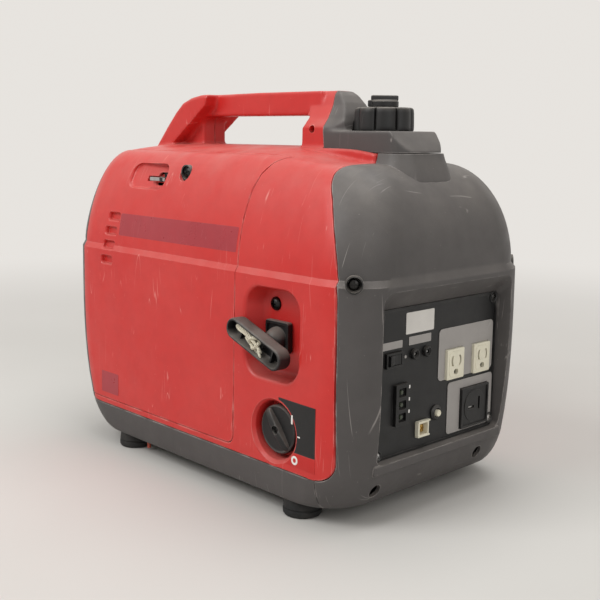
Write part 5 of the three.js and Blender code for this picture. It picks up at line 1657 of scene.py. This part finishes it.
# ---- Control panel ------------------------------------------------------------------------------
@dataclass
class ControlPanel:
    """The control panel, its plates, sockets, lamps and switches."""

    x: float = 237.0
    half: float = 97.0
    z: Span = (66.0, 215.0)
    outlets: tuple[float, float] = (25.0, 70.0)
    outlet_z: float = 146.5
    outlet_size: tuple[float, float] = (28.0, 32.0)
    dc_y: Span = (38.0, 85.0)
    dc_z: Span = (73.0, 117.0)
    ground_y: Span = (-33.0, -16.0)
    ground_z: Span = (79.0, 95.0)
    parallel: tuple[float, float] = (-39.0, -20.0)
    parallel_z: float = 166.0
    lamps_y: Span = (-68.0, -49.0)
    lamps_z: Span = (97.0, 139.0)
    eco_y: Span = (-82.0, -58.0)
    eco_z: Span = (157.0, 172.0)
    eco_tilt: float = 8.0
    breaker: Point = (-2.0, 99.0)

    def plate(self, y: Span, z: Span, low: float, high: float, corner: float = 0.0,
              bevel: float = 0.0) -> Solid:
        """Returns a plate on the panel's face.

        Args:
            y: From and to across the panel.
            z: From and to in height.
            low: Its back, from the panel's face.
            high: Its front, from the panel's face.
            corner: Radius of its corners.
            bevel: Radius of its edges.
        """
        return prism(Axis.X, rectangle(y, z), (self.x + low, self.x + high), corner, 6, bevel)

    def spun(self, profile: list[Point], at: Point, sides: int) -> Solid:
        """Returns a turned piece, its profile given as radius and height above the panel's face."""
        return turned(Axis.X, [(r, self.x + h) for r, h in profile], at, sides)

    def show(self, name: str, solid: Solid, finish: Finish, replaces: tuple[str, ...] = (),
             body: str = "casing") -> None:
        """Shows a piece of the panel."""
        publish(name, solid, finish, body, replaces, 38)

    def build(self) -> None:
        """Builds and shows the whole panel."""
        self.build_sheet()
        self.build_outlets()
        self.build_dc()
        self.build_small()
        self.build_switches()

    def build_sheet(self) -> None:
        """Builds the panel's sheet, its raised rim, screws, plates and bare stickers."""
        h, (z0, z1) = self.half - 0.35, self.z
        sheet = self.plate((-h, h), (z0 + 0.35, z1 - 0.35), -3, 0, 6)
        holes = [self.plate(spread((y - 14, y + 14), 0.4),
                            spread((self.outlet_z - 16, self.outlet_z + 16), 0.4), -9, 9)
                 for y in self.outlets]
        holes += [self.plate(spread(y, 0.4), spread(z, 0.4), -9, 9) for y, z in
                  ((self.dc_y, self.dc_z), (self.ground_y, self.ground_z), (self.lamps_y, self.lamps_z),
                   (self.eco_y, self.eco_z))]
        holes += [rod(Axis.X, 4.9, (220, 250), (y, self.parallel_z), sides=32) for y in self.parallel]
        holes.append(rod(Axis.X, 7.4, (220, 250), self.breaker, sides=40))
        outer = self.plate((-h, h), (z0 + 0.35, z1 - 0.35), -1, 0.9, 6)
        rim = outer.cut(self.plate((-h + 2.2, h - 2.2), (z0 + 2.6, z1 - 2.6), -4, 4, 4.5))
        self.show("control_panel_sheet", sheet.join(rim).cut(*holes), Finish.PANEL, ("control_panel",))
        ac = self.plate((0, 92), (131, 185), 0, 0.8, 5, 0.25).cut(*holes[:2])
        self.show("outlet_plate", ac, Finish.PLATE)
        dc = self.plate((17, 94), (71, 126.5), 0, 0.8, 4, 0.25).cut(holes[2])
        self.show("socket_plate", dc, Finish.PLATE)
        self.show("upper_sticker", self.plate((-52, -9), (187, 208.5), 0, 0.35, 1.2), Finish.STICKER)
        self.show("eco_strip", self.plate((-88.5, -57), (175.2, 182.6), 0, 0.35, 0.8), Finish.PLATE)
        self.show("parallel_strip", self.plate((-47, -13), (175.6, 184), 0, 0.35, 0.8), Finish.PLATE)
        for name, y, z in (("low_left", -91, 71.5), ("low_right", 91.5, 75), ("top_left", -91, 208),
                           ("top_right", 91, 209)):
            seat = self.spun([(3.6, -0.6), (6.4, -0.6), (6.4, 1.3), (5.4, 1.6), (3.6, 0.5)], (y, z), 40)
            self.show("panel_seat_" + name, seat, Finish.PANEL)
            low = name.startswith("low")
            head = cross_head(3.9, 1.9, 0.68, 32).moved(facing(Axis.X, (self.x + 0.5, y, z), 25))
            self.show("panel_screw_" + name, head, Finish.STEEL if low else Finish.DARK_ZINC)

    def build_outlets(self) -> None:
        """Builds the two outlets, with curved slots and a ground hole each."""
        x, z = self.x, self.outlet_z
        wide, tall = self.outlet_size
        for side, y in zip(("left", "right"), self.outlets):
            body = self.plate((y - wide / 2, y + wide / 2), (z - tall / 2, z + tall / 2), -18, 3.2, 1.4, 0)
            face = self.plate((y - wide / 2, y + wide / 2), (z - tall / 2, z + tall / 2), 1, 4, 1.6, 0.7)
            raised = prism(Axis.X, rounded_ring((y - 11.3, y + 11.3), (z - 13.4, z + 13.4), 5.5, 8),
                           (x + 3, x + 4.5), bevel=0.35)
            cuts = []
            for sign in (-1, 1):
                arc = [Vector((0, y + sign * (3.4 + 3.6 * math.cos(a)), z + 3.6 + 6.2 * math.sin(a)))
                       for a in (math.radians(d) for d in range(-62, 63, 8))]
                outline = [(p.y - sign * 1.35, p.z) for p in arc] + [(p.y + sign * 1.35, p.z)
            for p in reversed(arc)]
                cuts.append(prism(Axis.X, outline, (x - 9, x + 9)))
            cuts.append(prism(Axis.X, rounded_ring((y - 3.5, y + 3.5), (z - 11.2, z - 5.4), 2.4, 6),
                              (x - 9, x + 9)))
            name = "ac_outlet_" + side
            hollow = self.plate((y - 9.5, y + 9.5), (z - 12.5, z + 12), -16, 0.6)
            self.show(name + "_block", body.join(face, raised).cut(hollow, *cuts), Finish.CREAM, (name,))
            self.show(name + "_well", self.plate((y - 9.2, y + 9.2), (z - 12.2, z + 11.7), -12, -1.4),
                      Finish.BLACK)
            blades = [self.plate((y + s - 0.5, y + s + 0.5), (z + 0.5, z + 6.5), -9, -2.4)
                      for s in (-6.6, 6.6)]
            self.show(name + "_contacts", blades[0].join(blades[1]), Finish.BRASS)

    def build_dc(self) -> None:
        """Builds the direct-current socket: a deep frame round a face with two crossed slots."""
        x, y, z = self.x, self.dc_y, self.dc_z
        frame_block = self.plate(y, z, -18, 4, 1.5, 0.6)
        dish = self.plate(spread(y, -2.2), spread(z, -2.2), 2.6, 9, 1.2)
        mid_y, mid_z = sum(y) / 2, sum(z) / 2
        face = rod(Axis.X, 17.5, (x + 2, x + 3.3), (mid_y, mid_z), 0.4, 64)
        slots = [self.plate((mid_y + 5.6, mid_y + 8.8), (mid_z - 5, mid_z + 9), -10, 9, 0.6),
                 self.plate((mid_y - 11, mid_y - 1), (mid_z - 2.4, mid_z + 0.8), -10, 9, 0.6)]
        self.show("dc_socket_block", frame_block.cut(dish).join(face).cut(*slots), Finish.PANEL,
                  ("dc_outlet",))
        springs = self.plate((mid_y - 10.4, mid_y - 1.6), (mid_z - 1.8, mid_z - 0.4), -8, 1.4, 0.3).join(
            self.plate((mid_y + 6.1, mid_y + 7.2), (mid_z - 4, mid_z + 7), -8, 0.4, 0.3))
        self.show("dc_socket_contacts", springs, Finish.STEEL)

    def build_small(self) -> None:
        """Builds the ground terminal, the two parallel sockets, the lamps and the breaker."""
        x = self.x
        y, z = self.ground_y, self.ground_z
        mid = (sum(y) / 2, sum(z) / 2)
        cup = self.plate(y, z, -8, 4, 1.0, 0.5).cut(self.plate(spread(y, -2.2), spread(z, -2.2), -2, 9, 0.6))
        bar = self.plate((y[0], y[1] + 1.6), (z[1] - 1.4, z[1] + 0.3), 0.2, 4.4, 0, 0.4)
        foot = self.plate((y[0], y[1] + 1.2), (z[0] - 0.3, z[0] + 1.2), 0.2, 4.4, 0, 0.4)
        self.show("ground_terminal_cup", cup.join(bar, foot), Finish.CREAM, ("ground_terminal",))
        washer = self.plate((mid[0] - 4.8, mid[0] + 4.8), (mid[1] - 4.8, mid[1] + 4.8), -2.2, -0.4, 0.6, 0.2)
        head = cross_head(4.2, 2.0, 0.7, 32).moved(facing(Axis.X, (x - 0.4, *mid), 40))
        self.show("ground_terminal_screw", washer.join(head), Finish.BRASS)
        for side, y in zip(("left", "right"), self.parallel):
            ring = self.spun([(2.3, 0.4), (4.8, 0.4), (4.8, -14), (2.3, -14)], (y, self.parallel_z), 40)
            collar = self.spun([(2.3, 0.35), (5.5, 0.35), (5.5, 2.6), (4.7, 3.8), (3.9, 3.8), (3.4, 2.6),
                                (2.3, 2.6)], (y, self.parallel_z), 48)
            name = "parallel_socket_" + side
            self.show(name + "_barrel", ring.join(collar), Finish.PANEL, (name,))
            pin = self.spun([(0, -9), (1.5, -9), (1.5, 0.6), (0.9, 1.3), (0, 1.3)],
                         (y, self.parallel_z), 24)
            self.show(name + "_pin", pin, Finish.STEEL)
        y, z = self.lamps_y, self.lamps_z
        block = self.plate(y, z, -10, 4, 1.2, 0.6)
        mid_y = sum(y) / 2
        heights = [z[0] + (z[1] - z[0]) * share for share in (0.2, 0.5, 0.8)]
        cells = [self.plate((mid_y - 5.5, mid_y + 5.5), (h - 4.6, h + 4.6), 1.2, 9, 1.4) for h in heights]
        self.show("lamp_block", block.cut(*cells), Finish.PANEL, ("indicator_block",))
        lenses = [self.spun([(0, 0.8), (2.5, 0.8), (2.5, 2.2), (2.1, 3.0), (1.2, 3.4), (0, 3.5)], (mid_y, h),
                            28) for h in heights]
        self.show("lamp_lenses", lenses[0].join(*lenses[1:]), Finish.LENS)
        dots = [self.plate((y[1] + 4.2, y[1] + 6.0), (h + 1.2, h + 4.6), 0, 0.25, 0.5) for h in heights]
        self.show("lamp_marks", dots[0].join(*dots[1:]), Finish.WHITE_INK)
        self.build_breaker()

    def build_breaker(self) -> None:
        """Builds the circuit breaker's collar and its push button."""
        x, at = self.x, self.breaker
        collar = self.spun([(5, -16), (7, -16), (7, 0.35), (8, 0.35), (8, 1.4), (7.2, 2.2), (6.2, 3.0),
                            (5.4, 3.0), (5, 2.4)], at, 56)
        self.show("breaker_collar", collar, Finish.PANEL, ("breaker_body",))
        ring = self.spun([(4.9, 2.3), (6.1, 2.3), (6.1, 3.3), (4.9, 3.3)], at, 48)
        self.show("breaker_ring", ring, Finish.BLACK)
        button = self.spun([(0, -6), (3.6, -6), (3.6, 4.6), (3.1, 5.4), (2.0, 5.0), (0, 4.8)],
                        at, 48)
        self.show("breaker_push", button, Finish.CREAM, ("breaker_button",), "breaker")

    def build_switches(self) -> None:
        """Builds the rocker switch, its frame and the small pin beside it."""
        x, y, z = self.x, self.eco_y, self.eco_z
        block = self.plate(y, z, -12, 3, 1.2, 0.6).cut(self.plate(spread(y, -2), spread(z, -2), -8, 9, 0.4))
        self.show("eco_frame", block, Finish.PANEL, ("eco_switch_frame",))
        half = (y[1] - y[0]) / 2 - 3.1
        outline = [(-half, -4), (0, -5), (half, -4), (half, 4), (half * 0.5, 2.9), (0, 2.4),
                   (-half * 0.5, 2.9), (-half, 4)]
        tall = z[1] - z[0] - 5
        bm = bmesh.new()
        face = bm.faces.new([bm.verts.new((u, v, 0)) for v, u in outline])
        made = bmesh.ops.extrude_face_region(bm, geom=[face])
        bmesh.ops.translate(bm, vec=(0, 0, tall),
                            verts=[v for v in made["geom"] if isinstance(v, bmesh.types.BMVert)])
        round_edges(bm, list(bm.edges), 0.4, 2)
        rocker = Solid.of(bm).moved(Matrix.Translation((x, sum(y) / 2, z[0] + 2.5))
                                    @ Matrix.Rotation(math.radians(self.eco_tilt), 4, "Z"))
        self.show("eco_rocker_key", rocker, Finish.PANEL, ("eco_rocker",), "eco")
        pin = rod(Axis.X, 1.6, (x - 0.5, x + 0.9), (-52, 165), 0.4, 24)
        self.show("eco_pin", pin, Finish.PLATE)


# ---- Studio -------------------------------------------------------------------------------------
@dataclass
class Studio:
    """The floor, the lights and the camera."""

    camera_at: tuple[float, float, float] = (831.3, -762.7, 379.1)
    yaw: float = 46.32
    pitch: float = 9.79
    roll: float = 0.6
    lens: float = 57.84
    backdrop: tuple[float, float, float, float] = (1.0, 0.965, 0.92, 1.0)
    backdrop_level: float = 0.8
    world_level: float = 0.5

    def camera(self) -> None:
        """Sets up the camera."""
        yaw, pitch, roll = (math.radians(a) for a in (self.yaw, self.pitch, self.roll))
        ahead = Vector((-math.sin(yaw) * math.cos(pitch), math.cos(yaw) * math.cos(pitch), -math.sin(pitch)))
        right = ahead.cross(Vector((0, 0, 1))).normalized()
        up = right.cross(ahead)
        right, up = (math.cos(roll) * right + math.sin(roll) * up,
                     -math.sin(roll) * right + math.cos(roll) * up)
        turn = Matrix((right, up, -ahead)).transposed().to_4x4()
        data = bpy.data.cameras.new("camera")
        data.lens, data.sensor_width, data.clip_end = self.lens, 36.0, 50.0
        camera = bpy.data.objects.new("camera", data)
        at = Vector(self.camera_at) * MM + Vector((0, MIDDLE, 0))
        camera.matrix_world = Matrix.Translation(at) @ turn
        bpy.context.scene.collection.objects.link(camera)
        bpy.context.scene.camera = camera

    @staticmethod
    def seen(tree: bpy.types.NodeTree) -> bpy.types.NodeSocket:
        """Returns a socket that is 1 for rays from the camera, reflections and glass, and 0 for the light."""
        path = tree.nodes.new("ShaderNodeLightPath")
        total = None
        for kind in ("Is Camera Ray", "Is Glossy Ray", "Is Transmission Ray"):
            node = tree.nodes.new("ShaderNodeMath")
            node.operation = "MAXIMUM"
            tree.links.new(path.outputs[kind], node.inputs[0])
            if total:
                tree.links.new(total, node.inputs[1])
            else:
                node.inputs[1].default_value = 0.0
            total = node.outputs[0]
        return total

    def lamp(self, name: str, at: tuple[float, float, float], size: float, power: float) -> None:
        """Adds a soft square lamp that faces the generator.

        Args:
            name: The lamp's name.
            at: Its place, in metres.
            size: Its side.
            power: Its power in watts.
        """
        data = bpy.data.lights.new(name, "AREA")
        data.size, data.energy = size, power
        lamp = bpy.data.objects.new(name, data)
        lamp.location = at
        lamp.rotation_euler = (Vector((0, 0, 0.2)) - Vector(at)).to_track_quat("-Z", "Y").to_euler()
        bpy.context.scene.collection.objects.link(lamp)

    def build(self) -> None:
        """Builds the floor, the world and the lamps."""
        bm = bmesh.new()
        bmesh.ops.create_grid(bm, x_segments=1, y_segments=1, size=12)
        mesh = bpy.data.meshes.new("floor")
        bm.to_mesh(mesh)
        bm.free()
        floor = bpy.data.objects.new("floor", mesh)
        bpy.context.scene.collection.objects.link(floor)
        n = Nodes("pale floor")
        n.link(n.mix(n.noise(3, 2), rgb((206, 204, 200)), rgb((198, 196, 192))),
               n.shader.inputs["Base Color"])
        n.shader.inputs["Roughness"].default_value = 0.85
        away = n.add("ShaderNodeVectorMath", {0: n.place}, operation="LENGTH").outputs["Value"]
        glow = n.add("ShaderNodeEmission", {"Color": self.backdrop, "Strength": self.backdrop_level})
        far = n.math("MULTIPLY", self.seen(n.tree), n.add("ShaderNodeMapRange", {
            "Value": away, "From Min": 0.55, "From Max": 2.0}, interpolation_type="SMOOTHSTEP").outputs[0])
        join = n.add("ShaderNodeMixShader", {0: far, 1: n.shader.outputs[0], 2: glow.outputs[0]})
        n.link(join.outputs[0], n.out.inputs["Surface"])
        mesh.materials.append(n.material)
        world = bpy.data.worlds.new("studio")
        bpy.context.scene.world = world
        world.use_nodes = True
        tree = world.node_tree
        back = tree.nodes["Background"]
        level = tree.nodes.new("ShaderNodeMapRange")
        tree.links.new(self.seen(tree), level.inputs["Value"])
        level.inputs["To Min"].default_value = self.world_level
        level.inputs["To Max"].default_value = self.backdrop_level
        back.inputs["Color"].default_value = self.backdrop
        tree.links.new(level.outputs[0], back.inputs["Strength"])
        self.lamp("key", (-0.5, -1.9, 1.9), 1.4, 34)
        self.lamp("fill", (2.1, -0.6, 1.3), 1.6, 12)
        self.lamp("top", (0.1, 0.4, 2.3), 1.6, 22)
        bpy.context.scene.view_settings.view_transform = "Standard"


def dress_frame() -> None:
    """Gives every CAD node the finish of its slot, whether it shows or is replaced later."""
    slots = {part["node"]: part["material_slot"] for part in frame["record"]["subparts"]}
    for name, node in frame["nodes"].items():
        node.data.materials.clear()
        node.data.materials.append(SLOT_FINISH[slots[name]].material())


def main() -> None:
    """Builds the generator's looks, piece by piece."""
    logging.basicConfig(level=logging.INFO, format="%(message)s")
    studio = Studio()
    studio.camera()
    dress_frame()
    for assembly in (Trim(), Casing(), FuelCap(), Starter(), EngineSwitch(), Choke(), Feet(), ControlPanel()):
        assembly.build()
        LOG.info("%s done", type(assembly).__name__)
    studio.build()


if __name__ == "__main__":
    main()
